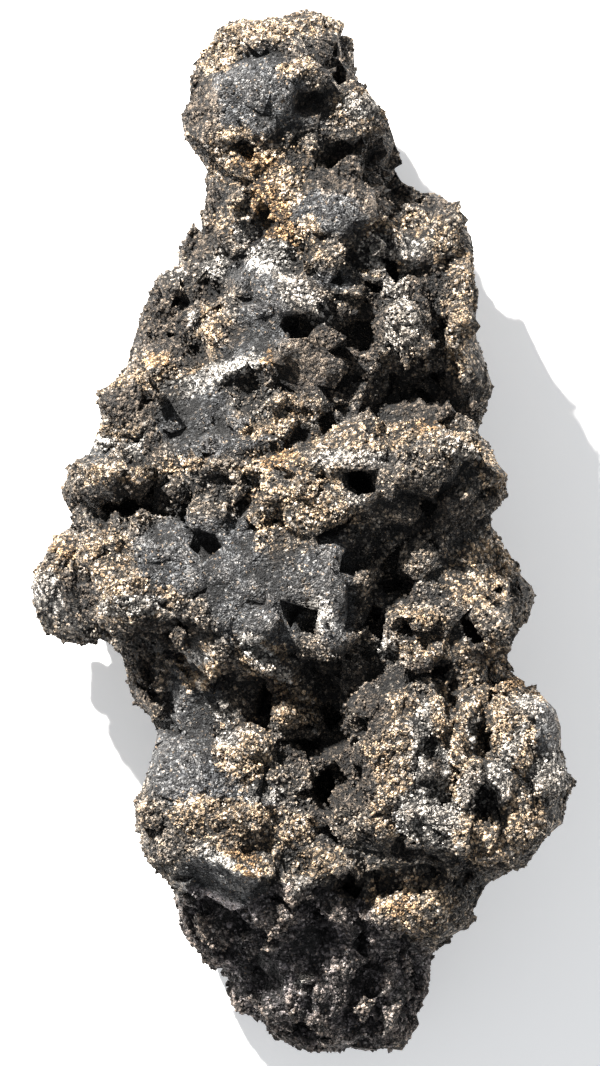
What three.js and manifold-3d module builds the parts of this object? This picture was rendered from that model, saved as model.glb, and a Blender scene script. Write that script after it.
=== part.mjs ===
// A rough lava rock, 200 mm from crown to foot, lying on its broken back.
//
// The rock is one piece of stone, so it is one solid. It is blocked out from masses that run into
// each other, the way the lumps of a cooled lava crust do. A block with a grid of squares on its
// faces starts outside the masses. Each corner of the grid is drawn in until it meets the stone,
// and the corners are then spread out evenly. What reaches below the ground is broken off level.
//
// Frame: millimetres, +Z up. The rock lies along Y with its crown at +Y and its foot at -Y, and its
// weathered face looks up. The origin is under the middle of the rock, on the surface it lies on.
import Module from "manifold-3d";
import * as THREE from "three";
import { ImprovedNoise } from "three/addons/math/ImprovedNoise.js";
import { mergeVertices } from "three/addons/utils/BufferGeometryUtils.js";

// Driving dimension, in millimetres.
const LENGTH = 200; // crown to foot

// Every place and size below is in hundredths of the rock's length, so LENGTH alone sets its size.
const UNIT = LENGTH / 100;

// A mass is centred at [across, along, above the ground], and its size is three half-widths. Its
// turn is in degrees about X, Y and Z. square is its shape: 2 is an ellipsoid, 5 a soft-edged block.
const CORE = [
  { at: [0.5, 29, 11], size: [8.6, 17, 12] },
  { at: [-0.5, 1, 11.5], size: [16.4, 21, 15.5] },
  { at: [2.5, -24, 11], size: [15.4, 15, 14.6] },
];

const CROWN = [
  { at: [-3.1, 41, 17], size: [7.1, 7.7, 9], turn: [10, 0, -26], square: 2.8 }, // head
  { at: [0.4, 46.7, 15], size: [3.4, 3.5, 7], turn: [0, 0, -12], square: 3 }, // top corner
  { at: [3.4, 36.2, 15.4], size: [4.8, 6.6, 7.5], turn: [0, 12, 18], square: 3 }, // cheekbone
  { at: [-0.8, 33.5, 16], size: [7.8, 6, 8.5], square: 3 }, // neck
];

const CHEST = [
  { at: [3.2, 30, 22.5], size: [5.2, 3.2, 3.6], turn: [-14, 0, -8], square: 3 }, // boss
  { at: [0.4, 24, 18], size: [8.2, 8, 7.5] },
  { at: [0.6, 21.2, 23], size: [4.6, 2.6, 3.4], turn: [20, 0, -42], square: 4 }, // tilted block
  { at: [-2.6, 15.4, 20.5], size: [5.4, 3.4, 5.4], turn: [25, 0, 8], square: 5 }, // lower block
];

const RIGHT_SHOULDER = [
  { at: [11.4, 20.4, 12.5], size: [5.2, 11.8, 9], turn: [0, 0, 6], square: 3.4 },
  { at: [12.6, 11, 13], size: [4, 6, 8.5], square: 3 },
  { at: [9.8, 19.6, 23], size: [2.6, 4, 4.4], turn: [0, 0, 12] }, // knob
];

const LEFT_SHOULDER = [
  { at: [-8.8, 27.6, 9], size: [2.6, 2.4, 4] },
  { at: [-10.6, 23.8, 14.5], size: [3.4, 2.5, 5] },
  { at: [-12.4, 20.4, 11], size: [3.2, 4, 6.5] },
  { at: [-8.4, 20, 17], size: [3.2, 3, 4.5] },
  { at: [-14.2, 16.4, 13], size: [2.8, 2.4, 4.5] },
];

const LEFT_SIDE = [
  { at: [-11.4, 11.8, 16], size: [7.2, 4.6, 8], turn: [0, -8, -6], square: 3 }, // wing
  { at: [-14, 5.4, 16.5], size: [8.6, 3.2, 8], turn: [0, -6, 8], square: 2.6 }, // its tip
  { at: [-4, 8.6, 19], size: [9, 6, 8], turn: [0, 0, 24] }, // its root
  { at: [-20.2, -5, 11.5], size: [6.2, 5, 7], turn: [0, 0, 32], square: 2.8 }, // set-back lobe
  { at: [-12, -4.6, 18], size: [9, 6.4, 9.5], turn: [0, -8, -4], square: 3 }, // cheek
  { at: [-8.6, -12, 13], size: [8.4, 6.2, 10], turn: [0, 0, 22] }, // recessed flank
];

const WAIST = [
  { at: [7, 5.8, 25.4], size: [11, 4.6, 6.2], turn: [22, 4, 4], square: 2.8 }, // shelf
  { at: [15.6, 4.6, 22], size: [4.2, 3, 5.5], turn: [10, 12, 0] }, // its right end
  { at: [-0.4, 2.8, 24.2], size: [4.6, 3.2, 4.2], turn: [0, 0, -18] }, // its left end
  { at: [11.6, -2, 17], size: [7, 7, 9.5] }, // flank under the shelf
  { at: [18.4, -6.4, 11.5], size: [3.8, 4.8, 6], turn: [0, 0, 6] }, // knuckle
  { at: [13.4, -8.4, 19.5], size: [6.4, 5.4, 8.5], square: 2.4 }, // grainy dome
  { at: [2.8, -7.2, 23], size: [3.2, 8.6, 6.2], turn: [4, 0, 4], square: 3 }, // rib
  { at: [-4.4, -6.4, 21], size: [5.2, 8.4, 7.4] }, // ground left of the rib
];

const HIPS = [
  { at: [9.6, -22.4, 21.6], size: [7.2, 9.2, 9.4], turn: [-6, 4, 2], square: 2.6 }, // right block
  { at: [19.2, -20.8, 15], size: [4.8, 6.6, 8.5], turn: [0, 14, -2], square: 4 }, // ear
  { at: [22.4, -25, 13], size: [3.8, 3.4, 6], turn: [0, 0, 20] }, // its tip
  { at: [17, -29, 15.5], size: [7, 3.8, 7], turn: [0, 8, 30] },
  { at: [11.2, -33.4, 18.4], size: [5.2, 5.2, 7], square: 2.6 }, // hanging lobe
  { at: [-7.6, -25.4, 18.4], size: [7.4, 6.2, 8.4], turn: [0, -6, -10], square: 3 }, // left block
  { at: [-6, -31.4, 19.4], size: [8, 3.4, 7], turn: [10, 0, -24], square: 4 }, // its chin
  { at: [2.2, -30.4, 20.4], size: [4.2, 2.6, 5.4], turn: [0, 0, 12], square: 3 },
];

const FOOT = [
  { at: [2, -35, 11.5], size: [13.6, 6.6, 11], turn: [0, 0, 6], square: 2.8 },
  { at: [2.4, -41.4, 10], size: [9.4, 8.2, 10.4] },
  { at: [5.8, -42.8, 10.5], size: [5.8, 7, 7.5], turn: [0, 0, -6], square: 3.2 },
];

const HOLLOWS = [
  { at: [2.2, -20, 30], size: [3, 7.2, 11], turn: [0, 0, 6] }, // cavity between the hips
  { at: [-20, 1.2, 18], size: [8, 0.9, 12], turn: [0, 0, 2] }, // gap under the wing
];

const BLEND = 1.4; // how far two masses run into each other
const WARPS = [
  { wave: 17, swing: 1 }, // swells that bend the masses
  { wave: 6.5, swing: 0.9 }, // lumps and dents
];

// The block with the grid on it, and the smaller block that its corners are drawn towards. Both are
// half-widths about a point at BLOCK_HEIGHT above the ground.
const OUTER_BLOCK = new THREE.Vector3(32, 56, 26);
const INNER_BLOCK = new THREE.Vector3(6, 37, 3);
const BLOCK_HEIGHT = 12;
const GRID = [24, 50, 17]; // squares across, along and up the block
const STEP = 0.7; // a walk's step, as a share of the gap still to close
const CLOSE = 0.01; // a gap that counts as closed
const EVENINGS = 6; // how often the drawn-in corners are spread out evenly

const noise = new ImprovedNoise();

// A smooth offset that differs from place to place: three reads of the noise, one for each axis.
function warpAt({ x, y, z }, { wave, swing }) {
  return new THREE.Vector3(
    noise.noise(x / wave, y / wave, z / wave + 11.3),
    noise.noise(x / wave + 17.9, y / wave, z / wave),
    noise.noise(x / wave, y / wave + 23.1, z / wave),
  ).multiplyScalar(swing);
}

// A mass with its turn worked out once, so that many points can be measured against it.
function placed({ at, size, turn = [0, 0, 0], square = 2.2 }) {
  const radians = turn.map(THREE.MathUtils.degToRad);
  const turned = new THREE.Quaternion().setFromEuler(new THREE.Euler(...radians));
  const centre = new THREE.Vector3(...at);
  return { centre, size, back: turned.invert(), square, reach: Math.hypot(...size) };
}

// How far a point is outside a mass, negative inside it, close enough for walking up to it.
function distanceTo({ centre, size, back, square, reach }, point) {
  const away = point.distanceTo(centre) - reach;
  if (away > 2 * BLEND) return away;
  const local = point.clone().sub(centre).applyQuaternion(back);
  const shares = [local.x / size[0], local.y / size[1], local.z / size[2]].map(Math.abs);
  const norm = shares.reduce((sum, v) => sum + v ** square, 1e-9) ** (1 / square);
  const slope = Math.hypot(...shares.map((v, axis) => (v / norm) ** (square - 1) / size[axis]));
  return (norm - 1) / slope;
}

// The lesser of two distances, rounded where they are nearly equal.
function blend(a, b) {
  const overlap = Math.max(BLEND - Math.abs(a - b), 0) / BLEND;
  return Math.min(a, b) - (overlap * overlap * BLEND) / 4;
}

const sides = [RIGHT_SHOULDER, LEFT_SHOULDER, LEFT_SIDE];
const masses = [CORE, CROWN, CHEST, ...sides, WAIST, HIPS, FOOT].flat().map(placed);
const hollows = HOLLOWS.map(placed);

// How far a place is outside the rock, negative inside it, in hundredths of the length.
function outside(place) {
  const point = place.clone();
  WARPS.forEach((warp) => point.add(warpAt(place, warp)));
  const stone = masses.map((mass) => distanceTo(mass, point)).reduce(blend);
  return Math.max(stone, ...hollows.map((hollow) => -distanceTo(hollow, point)));
}

// Walks from a place towards a target until it meets the stone.
function drawnIn(place, target) {
  const way = target.clone().sub(place).normalize();
  for (let gap = outside(place); gap > CLOSE; gap = outside(place)) {
    place.addScaledVector(way, STEP * gap);
  }
  return place;
}

// Moves a place near the surface onto it, along the steepest way.
function settled(place) {
  const reach = 0.1;
  const gap = outside(place);
  const slope = new THREE.Vector3();
  for (const axis of ["x", "y", "z"]) {
    const beside = place.clone();
    beside[axis] += reach;
    slope[axis] = (outside(beside) - gap) / reach;
  }
  return place.addScaledVector(slope, -gap / Math.max(slope.lengthSq(), 0.3));
}

// For each corner, the corners that share an edge with it.
function neighboursOf({ attributes, index }) {
  const neighbours = Array.from({ length: attributes.position.count }, () => new Set());
  for (let i = 0; i < index.count; i += 3) {
    const [a, b, c] = index.array.slice(i, i + 3);
    neighbours[a].add(b).add(c);
    neighbours[b].add(a).add(c);
    neighbours[c].add(a).add(b);
  }
  return neighbours.map((corners) => [...corners]);
}

// A geometry with only the places of its corners, each corner held once.
function weldedFrom(geometry) {
  geometry.deleteAttribute("normal");
  geometry.deleteAttribute("uv");
  return mergeVertices(geometry);
}

// The block's grid, drawn in and evened out: a closed skin around the whole rock.
function skinGeometry() {
  const geometry = weldedFrom(new THREE.BoxGeometry(2, 2, 2, ...GRID));
  const { position } = geometry.attributes;
  let corners = Array.from({ length: position.count }, (_, i) => {
    const direction = new THREE.Vector3().fromBufferAttribute(position, i);
    const start = direction.clone().multiply(OUTER_BLOCK);
    const target = direction.multiply(INNER_BLOCK);
    start.z += BLOCK_HEIGHT;
    target.z += BLOCK_HEIGHT;
    return drawnIn(start, target);
  });
  const neighbours = neighboursOf(geometry);
  for (let evening = 0; evening < EVENINGS; evening++) {
    corners = neighbours.map((near) => {
      const middle = new THREE.Vector3();
      near.forEach((corner) => middle.addScaledVector(corners[corner], 1 / near.length));
      return settled(settled(middle));
    });
  }
  corners.forEach((corner, i) => position.setXYZ(i, ...corner.multiplyScalar(UNIT)));
  return geometry;
}

// Breaks off what reaches below the ground, and puts the middle of what is left over the origin.
async function brokenOff(skin) {
  const wasm = await Module();
  wasm.setup();
  const solidFrom = ({ attributes, index }) =>
    new wasm.Manifold(new wasm.Mesh({
      numProp: 3,
      vertProperties: attributes.position.array,
      triVerts: new Uint32Array(index.array),
    }));
  const ground = new THREE.BoxGeometry(2 * LENGTH, 2 * LENGTH, LENGTH);
  ground.translate(0, 0, -LENGTH / 2);
  const above = solidFrom(skin).subtract(solidFrom(weldedFrom(ground)));
  const { vertProperties, triVerts } = above.getMesh();
  const geometry = new THREE.BufferGeometry();
  geometry.setAttribute("position", new THREE.BufferAttribute(vertProperties, 3));
  geometry.setIndex(new THREE.BufferAttribute(triVerts, 1));
  geometry.computeBoundingBox();
  const middle = geometry.boundingBox.getCenter(new THREE.Vector3());
  return geometry.translate(-middle.x, -middle.y, 0);
}

const stone = new THREE.MeshStandardMaterial({ color: 0x4c4742, roughness: 0.93, metalness: 0 });
const body = new THREE.Mesh(await brokenOff(skinGeometry()), stone);
body.name = "lava_rock";

const rock = new THREE.Group();
rock.add(body);

export default rock;
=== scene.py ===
# %% [markdown]
# # A rough lava rock
#
# The real thing is one lump of cooled lava, about 200 mm long. Three sizes of detail make its skin:
# big masses with ledges and clefts between them, a crumbly relief of lumps and pits, and a crust of
# mineral grains half a millimetre across.
#
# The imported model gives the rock's place, its size and its big masses. This lesson turns that
# coarse solid into stone by sculpting a field of distances instead of pushing corners about. A
# field can be carved under a ledge as easily as on top of it, which no displaced skin can follow.

# %% Load the fixed frame
import itertools
import math

import bmesh
import bpy
import numpy as np
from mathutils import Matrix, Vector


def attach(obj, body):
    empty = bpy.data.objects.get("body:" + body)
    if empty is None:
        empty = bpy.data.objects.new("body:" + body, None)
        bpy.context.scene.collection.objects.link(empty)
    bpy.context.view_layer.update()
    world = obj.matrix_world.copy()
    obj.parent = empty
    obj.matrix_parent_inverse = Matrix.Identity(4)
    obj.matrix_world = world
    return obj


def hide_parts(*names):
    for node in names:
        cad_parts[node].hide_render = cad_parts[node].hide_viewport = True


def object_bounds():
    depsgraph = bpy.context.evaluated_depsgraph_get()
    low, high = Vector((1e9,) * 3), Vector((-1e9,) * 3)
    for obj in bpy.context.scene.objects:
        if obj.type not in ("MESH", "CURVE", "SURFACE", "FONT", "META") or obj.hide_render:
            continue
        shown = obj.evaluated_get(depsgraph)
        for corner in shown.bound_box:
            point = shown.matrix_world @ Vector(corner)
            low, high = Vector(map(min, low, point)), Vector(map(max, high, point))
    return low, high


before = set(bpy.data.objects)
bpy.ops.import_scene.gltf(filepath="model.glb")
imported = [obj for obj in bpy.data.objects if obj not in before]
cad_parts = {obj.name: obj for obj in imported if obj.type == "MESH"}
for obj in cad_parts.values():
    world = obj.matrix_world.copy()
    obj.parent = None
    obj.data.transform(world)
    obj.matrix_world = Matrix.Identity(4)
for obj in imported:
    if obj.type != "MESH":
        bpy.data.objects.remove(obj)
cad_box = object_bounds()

import openvdb
from mathutils import Euler, Vector

cad_low, cad_high = (np.array(corner) for corner in cad_box)
cad_size = cad_high - cad_low
print("the rock measures", (cad_size * 1000).round(1), "mm")

# %% [markdown]
# ## Units
#
# Every place and size on the rock is given in hundredths of its length. A place is across and along
# the rock from its middle, as seen from above: the crown is at 50 along and the foot at -50.

# %% One hundredth of the length, in metres
UNIT = cad_size[1] / 100
SEED = 20
print("a hundredth of the length is", round(float(UNIT) * 1000, 2), "mm")

# %% [markdown]
# ## Camera
#
# The rock lies on its back, so the camera looks straight down on it, with the crown at the top of
# the picture. It stands where the rock's outline fills the height of the picture.

# %% Camera
FRAME_HEIGHT = 102.6  # what the picture takes in, at the outline's level
OUTLINE_LEVEL = 15.0
lens = bpy.data.cameras.new("camera")
lens.lens = 180
lens.sensor_width = 36
lens.clip_end = 10
CAMERA_RISE = FRAME_HEIGHT * lens.lens / lens.sensor_width  # above the outline's level
camera = bpy.data.objects.new("camera", lens)
camera.location = (0, 0, (OUTLINE_LEVEL + CAMERA_RISE) * UNIT)
bpy.context.scene.collection.objects.link(camera)
bpy.context.scene.camera = camera
print("the camera is", round(camera.location.z, 3), "m above the floor")

# %% [markdown]
# ## Floor and light
#
# A plain pale floor and two lamps. The key lamp stands beyond the crown, a little to the left. It is
# small, so every ledge throws a crisp shadow towards the foot. The fill is wide and weak, and with
# the pale sky it keeps the hollows readable.

# %% Floor
def floor_material():
    """Plain and pale, with a little light of its own, so the floor stays nearly white."""
    material = bpy.data.materials.new("pale_floor")
    material.use_nodes = True
    shader = material.node_tree.nodes["Principled BSDF"]
    shader.inputs["Base Color"].default_value = (0.93, 0.93, 0.93, 1)
    shader.inputs["Roughness"].default_value = 0.9
    shader.inputs["Emission Color"].default_value = (1, 1, 1, 1)
    shader.inputs["Emission Strength"].default_value = 0.3
    return material


FLOOR_REACH = 3.0
floor_mesh = bpy.data.meshes.new("floor")
floor_corners = [(x * FLOOR_REACH, y * FLOOR_REACH, 0) for x, y in ((-1, -1), (1, -1), (1, 1), (-1, 1))]
floor_mesh.from_pydata(floor_corners, [], [(0, 1, 2, 3)])
floor = bpy.data.objects.new("floor", floor_mesh)
floor.data.materials.append(floor_material())
bpy.context.scene.collection.objects.link(floor)
print("the floor is", 2 * FLOOR_REACH, "m wide")


# %% Lamps and sky
def lamp(name, place, size, watts, colour):
    """A square area lamp that points at the middle of the rock."""
    light = bpy.data.lights.new(name, "AREA")
    light.size = size
    light.energy = watts
    light.color = colour
    obj = bpy.data.objects.new(name, light)
    obj.location = place
    aim = Vector((0, 0, OUTLINE_LEVEL * UNIT)) - Vector(place)
    obj.rotation_euler = aim.to_track_quat("-Z", "Y").to_euler()
    bpy.context.scene.collection.objects.link(obj)


lamp("key", place=(-0.62, 1.05, 0.92), size=0.05, watts=140, colour=(1, 0.97, 0.93))
lamp("fill", place=(0.9, -0.6, 1.3), size=1.2, watts=1.5, colour=(0.9, 0.95, 1))

sky = bpy.data.worlds.new("sky")
sky.use_nodes = True
background = sky.node_tree.nodes["Background"]
background.inputs["Color"].default_value = (0.93, 0.96, 1, 1)
background.inputs["Strength"].default_value = 0.5
bpy.context.scene.world = sky
bpy.context.scene.view_settings.view_transform = "Standard"
print("the sky and", len(bpy.data.lights), "lamps are in")

# %% [markdown]
# ## The field
#
# The space round the rock is divided into small cubes. Each holds its distance to the surface of
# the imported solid, negative inside the stone. The facets of the solid vanish when the distances
# are blurred a little.

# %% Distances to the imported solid, on a grid of cubes
CUBE = 0.27  # edge of a cube, in hundredths of the length
MARGIN = 14  # cubes of air round the rock
BAND = 16.0  # cubes on each side of the surface that hold a true distance

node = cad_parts["lava_rock"]
corners = np.empty(len(node.data.vertices) * 3, np.float32)
node.data.vertices.foreach_get("co", corners)
node.data.calc_loop_triangles()
facets = np.empty(len(node.data.loop_triangles) * 3, np.int32)
node.data.loop_triangles.foreach_get("vertices", facets)

low = np.floor(cad_low / UNIT / CUBE).astype(int) - MARGIN
high = np.ceil(cad_high / UNIT / CUBE).astype(int) + MARGIN
distances = openvdb.FloatGrid.createLevelSetFromPolygons(
    corners.reshape(-1, 3) / np.float32(UNIT),
    triangles=facets.reshape(-1, 3).astype(np.uint32),
    transform=openvdb.createLinearTransform(voxelSize=CUBE),
    halfWidth=BAND,
)
stone = np.empty(high - low, np.float32)
distances.copyToArray(stone, ijk=tuple(int(v) for v in low))
axes = [(np.arange(a, b) * CUBE).astype(np.float32) for a, b in zip(low, high)]
print("the grid has", stone.shape, "cubes")


def blurred(field, rounds):
    """The field averaged with its neighbours, a few times over."""
    for _ in range(rounds):
        for axis in range(field.ndim):
            field = 0.5 * field + 0.25 * (np.roll(field, 1, axis) + np.roll(field, -1, axis))
    return field


stone = blurred(stone, rounds=5)

# %% [markdown]
# ## The relief, drawn on a sheet
#
# The ledges, lumps and clefts are drawn on a sheet of heights first, as on a sheet of glass laid
# over the rock at the level of its outline, and are then pressed into the stone. Drawing in the
# flat makes each of them one short line of code, and it leaves the rock's outline alone.
#
# Some strokes are cross-sections swept along a line. A `ledge` drops on the right hand of whoever
# walks along it. The others are round: domes, dips and tilted faces. All heights add up.

# %% The sheet
SHEET_CELL = CUBE / 2
SHEET_ACROSS, SHEET_ALONG = 28, 52  # half its width and half its length
sheet_x = np.arange(-SHEET_ACROSS, SHEET_ACROSS + SHEET_CELL, SHEET_CELL)
sheet_y = np.arange(-SHEET_ALONG, SHEET_ALONG + SHEET_CELL, SHEET_CELL)
sheet = np.zeros((len(sheet_x), len(sheet_y)))


def sheet_window(x0, x1, y0, y1):
    """The part of the sheet between these places, and its coordinates."""
    i = np.searchsorted(sheet_x, (x0, x1))
    j = np.searchsorted(sheet_y, (y0, y1))
    window = (slice(*i), slice(*j))
    return window, sheet_x[window[0]][:, None], sheet_y[window[1]][None, :]


print("the sheet has", sheet.shape, "cells")


# %% Strokes along a line
def along_line(points, x, y, taper):
    """Distance to the right of a broken line, and 1 along it, falling to 0 at its ends."""
    nearest, side, passed = np.inf, 0.0, 0.0
    walked = 0.0
    for (ax, ay), (bx, by) in zip(points, points[1:]):
        length = math.dist((ax, ay), (bx, by))
        dx, dy = (bx - ax) / length, (by - ay) / length
        t = np.clip((x - ax) * dx + (y - ay) * dy, 0, length)
        off = np.hypot(x - ax - t * dx, y - ay - t * dy)
        closer = off < nearest
        hand = np.where((x - ax) * dy - (y - ay) * dx >= 0, 1, -1)
        side = np.where(closer, off * hand, side)
        passed = np.where(closer, walked + t, passed)
        nearest = np.where(closer, off, nearest)
        walked += length
    fade = np.clip(np.minimum(passed, walked - passed) / taper, 0, 1)
    return side, fade


def profile(points, heights, taper=1.2):
    """Sweeps a cross-section along a broken line. Heights are (distance to the right, height) pairs."""
    reach = max(abs(v) for v, _ in heights) + 0.5
    xs, ys = zip(*points)
    window, x, y = sheet_window(min(xs) - reach, max(xs) + reach, min(ys) - reach, max(ys) + reach)
    side, fade = along_line(points, x, y, taper)
    sheet[window] += fade * np.interp(side, [v for v, _ in heights], [h for _, h in heights])


def ledge(points, rise=0.5, drop=1.2, above=1.8, face=0.8, below=2.0, taper=1.2):
    """An edge that drops on the right hand: a ramp up to it, a steep face, and a ramp back."""
    profile(points, [(-above, 0), (0, rise), (face, -drop), (face + below, 0)], taper)


def ridge(points, width=0.5, rise=0.8, taper=1.0):
    """A sharp ridge along a line."""
    profile(points, [(-width, 0), (0, rise), (width, 0)], taper)


def crack(points, width=0.35, depth=1.5, taper=0.6):
    """A cleft with steep walls along a line."""
    bottom = width * 0.4
    profile(points, [(-width, 0), (-bottom, -depth), (bottom, -depth), (width, 0)], taper)


# %% Round strokes
def oval(x, y, middle, size, turn, square):
    """1 in the middle of an oval, falling to 0 at its rim."""
    c, s = math.cos(math.radians(turn)), math.sin(math.radians(turn))
    u = (c * (x - middle[0]) + s * (y - middle[1])) / size[0]
    v = (c * (y - middle[1]) - s * (x - middle[0])) / size[1]
    return np.clip(1 - np.abs(u) ** square - np.abs(v) ** square, 0, 1)


def round_window(middle, size):
    """The part of the sheet that an oval touches, however it is turned."""
    reach = max(size) * 1.05
    return sheet_window(middle[0] - reach, middle[0] + reach, middle[1] - reach, middle[1] + reach)


def bump(middle, size, height, turn=0, square=2):
    """A dome, or a dip if its height is negative."""
    window, x, y = round_window(middle, size)
    sheet[window] += height * oval(x, y, middle, size, turn, square)


SLAB_RIM = 2.5  # how steeply a slab sets in at its rim


def slab(middle, size, east, north, turn=0, rise=0.0, square=3):
    """A broken face: a tilted plane inside an oval, which climbs by east and north for each unit."""
    window, x, y = round_window(middle, size)
    plane = rise + east * (x - middle[0]) + north * (y - middle[1])
    sheet[window] += plane * np.clip(oval(x, y, middle, size, turn, square) * SLAB_RIM, 0, 1)


# %% [markdown]
# ## The relief, region by region
#
# The strokes go down the rock from its crown to its foot, with a cell for each region. A mass that
# stands out is a dome or a slab, the step at its lower side is a ledge, and the dark gaps between
# masses are cracks and dips. Each is placed on its own, because lava has no pattern to repeat.

# %% Progress
def drawn(region):
    """Says how much of the sheet is drawn on when a region is done."""
    print(region, "is drawn, and strokes cover", f"{(sheet != 0).mean():.0%} of the sheet")


# %% Crown
ledge([(-7.0, 46.0), (-4.8, 47.0), (-2.2, 47.3), (-0.2, 47.0)], 0.5, 0.9, 1.8, 0.7, 2.2)
bump((-0.6, 46.3), (1.0, 0.5), -0.7, 4)
ledge([(3.0, 43.4), (2.1, 45.2), (1.4, 47.0), (1.9, 48.4)], 0.4, 1.7, 1.6, 1.4, 2.2)
bump((4.0, 44.0), (1.1, 0.9), -2.2, -30)
slab((0.4, 44.9), (2.4, 1.4), 0.05, -0.35, 14, 0.4)
ledge([(-1.6, 41.2), (-0.4, 42.3), (1.0, 42.8), (2.2, 42.8)], 0.5, 1.6, 1.5, 1.0, 1.6)
bump((1.1, 41.2), (1.7, 1.0), -1.2, -20, 3)
slab((-4.2, 42.4), (4.4, 3.6), 0.02, 0.10, 0, 0.2)
ledge([(-6.6, 40.3), (-3.6, 40.7), (-0.6, 40.4), (1.6, 39.2)], 0.3, 0.5, 1.2, 0.4, 1.2)
ledge(
    [(-10.0, 37.6), (-8.0, 37.9), (-5.8, 38.3), (-3.6, 38.9), (-1.4, 39.1), (1.0, 38.9), (2.4, 38.2)],
    0.7, 0.4, 1.5, 0.5, 2.0,
)
ledge([(3.2, 38.7), (5.2, 37.9), (7.2, 38.3), (9.4, 37.8)], 0.9, 1.5, 2.6, 1.4, 2.6)
bump((5.6, 40.8), (2.8, 2.2), 0.8)
ledge([(9.0, 30.4), (8.2, 31.6), (7.0, 33.8), (5.6, 35.8), (4.6, 37.2)], 0.4, 2.6, 1.2, 2.4, 1.5)
bump((7.8, 34.6), (1.8, 3.2), -2.2, 20, 3)
ledge([(0.6, 36.5), (2.4, 37.0), (4.6, 36.6)], 0.3, 1.4, 0.8, 1.6, 1.0)
ridge([(1.6, 34.8), (4.4, 33.4), (6.4, 31.4), (7.9, 28.8)], 0.5, 0.7)
ledge([(-2.0, 34.6), (0.0, 35.0), (1.8, 34.5)], 0.4, 0.8, 1.0, 0.7, 1.0)
ledge([(-9.2, 35.8), (-7.0, 36.0), (-5.4, 35.2)], 0.3, 0.7, 1.0, 0.5, 1.2)
ledge([(-9.0, 33.4), (-7.6, 33.6), (-6.2, 32.2)], 0.3, 0.8, 1.0, 0.6, 1.4)
crack([(-6.6, 33.4), (-7.0, 31.4), (-6.8, 29.6)], 0.6, 0.9)
drawn("the crown")

# %% Neck and chest
slab((3.6, 31.2), (4.2, 2.0), 0.0, 0.02, -4, 0.6, 4)
ledge([(-0.4, 29.2), (1.6, 28.9), (3.4, 29.2), (5.2, 29.4), (7.0, 29.0)], 0.5, 0.3, 1.2, 0.4, 0.8)
bump((8.4, 28.2), (2.0, 2.8), 2.0)
ledge([(1.2, 27.2), (3.2, 27.3), (5.0, 27.7), (6.4, 28.0)], 0.4, 0.3, 0.9, 0.3, 0.9)
ledge([(0.4, 25.5), (2.4, 25.9), (4.4, 26.3), (6.6, 26.1)], 0.4, 0.35, 0.8, 0.3, 0.8)
ledge([(1.4, 23.2), (3.2, 22.9), (4.8, 22.5), (6.8, 22.6)], 0.6, 1.0, 1.8, 0.8, 2.8)
bump((6.2, 19.4), (1.5, 2.8), -1.2, -16)
ledge([(-3.0, 24.9), (-1.6, 24.2), (0.2, 24.0), (1.8, 22.8), (3.4, 21.6)], 0.2, 0.6, 0.8, 0.4, 0.6)
ledge([(-2.6, 23.8), (-1.0, 22.4), (0.6, 21.2), (2.4, 20.7), (4.2, 20.6)], 1.0, 1.0, 2.0, 1.2, 2.0)
bump((-1.4, 20.4), (0.9, 1.8), -2.0, 30)
slab((-4.2, 20.6), (2.6, 3.0), 0.15, -0.05, 0, 0.3)
bump((-5.0, 22.8), (1.6, 0.8), -1.6, 10)
bump((-4.8, 24.4), (0.6, 1.2), -1.2)
bump((-5.2, 27.5), (0.6, 0.6), -0.9)
bump((-5.0, 29.2), (1.4, 1.1), 0.6)
slab((-6.4, 17.1), (2.9, 1.3), 0.0, -0.35, 6, 0.5)
ledge(
    [(-9.2, 15.8), (-7.4, 15.6), (-5.4, 15.7), (-3.6, 16.1), (-2.4, 16.9), (-1.9, 18.2), (-0.8, 19.0)],
    0.6, 1.1, 1.0, 0.8, 1.2,
)
slab((0.0, 16.2), (2.9, 2.8), -0.1, 1.15, 0, -0.3, 4)
ridge([(-0.6, 19.2), (0.4, 17.6), (1.2, 16.2), (2.0, 14.4)], 0.3, 0.5)
ledge([(-4.6, 14.9), (-3.0, 14.2), (-1.6, 13.7)], 0.2, 0.9, 1.0, 0.6, 1.0)
bump((15.2, 18.6), (1.8, 3.6), 2.0)
drawn("the chest")

# %% Left lumps
ledge([(-13.6, 24.2), (-12.4, 23.7), (-11.0, 23.5), (-9.6, 22.8)], 0.6, 1.3, 1.6, 0.7, 1.2)
bump((-9.2, 22.6), (1.3, 0.7), -2.0, -12)
bump((-7.7, 21.7), (0.6, 0.7), -1.5)
bump((-13.4, 20.8), (2.0, 2.8), 0.6)
ledge(
    [(-15.4, 18.2), (-13.0, 18.0), (-11.0, 18.9), (-10.4, 20.4), (-10.8, 22.0)],
    0.2, 1.8, 1.6, 0.8, 1.0,
)
bump((-8.8, 20.2), (2.2, 2.3), 0.9)
bump((-10.6, 17.2), (1.9, 1.3), -3.0, 30)
ledge([(-10.4, 18.3), (-9.0, 17.8), (-7.4, 18.4), (-5.6, 18.3)], 0.4, 1.2, 1.2, 0.6, 1.0)
bump((-14.4, 16.7), (1.9, 1.3), 0.8)
ledge([(-15.8, 15.1), (-14.2, 15.2), (-12.8, 15.1)], 0.3, 0.9, 0.8, 0.4, 0.7)
slab((-10.8, 15.8), (2.8, 1.2), 0.1, -0.5, -28, 0.4)
drawn("the left side")

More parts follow.
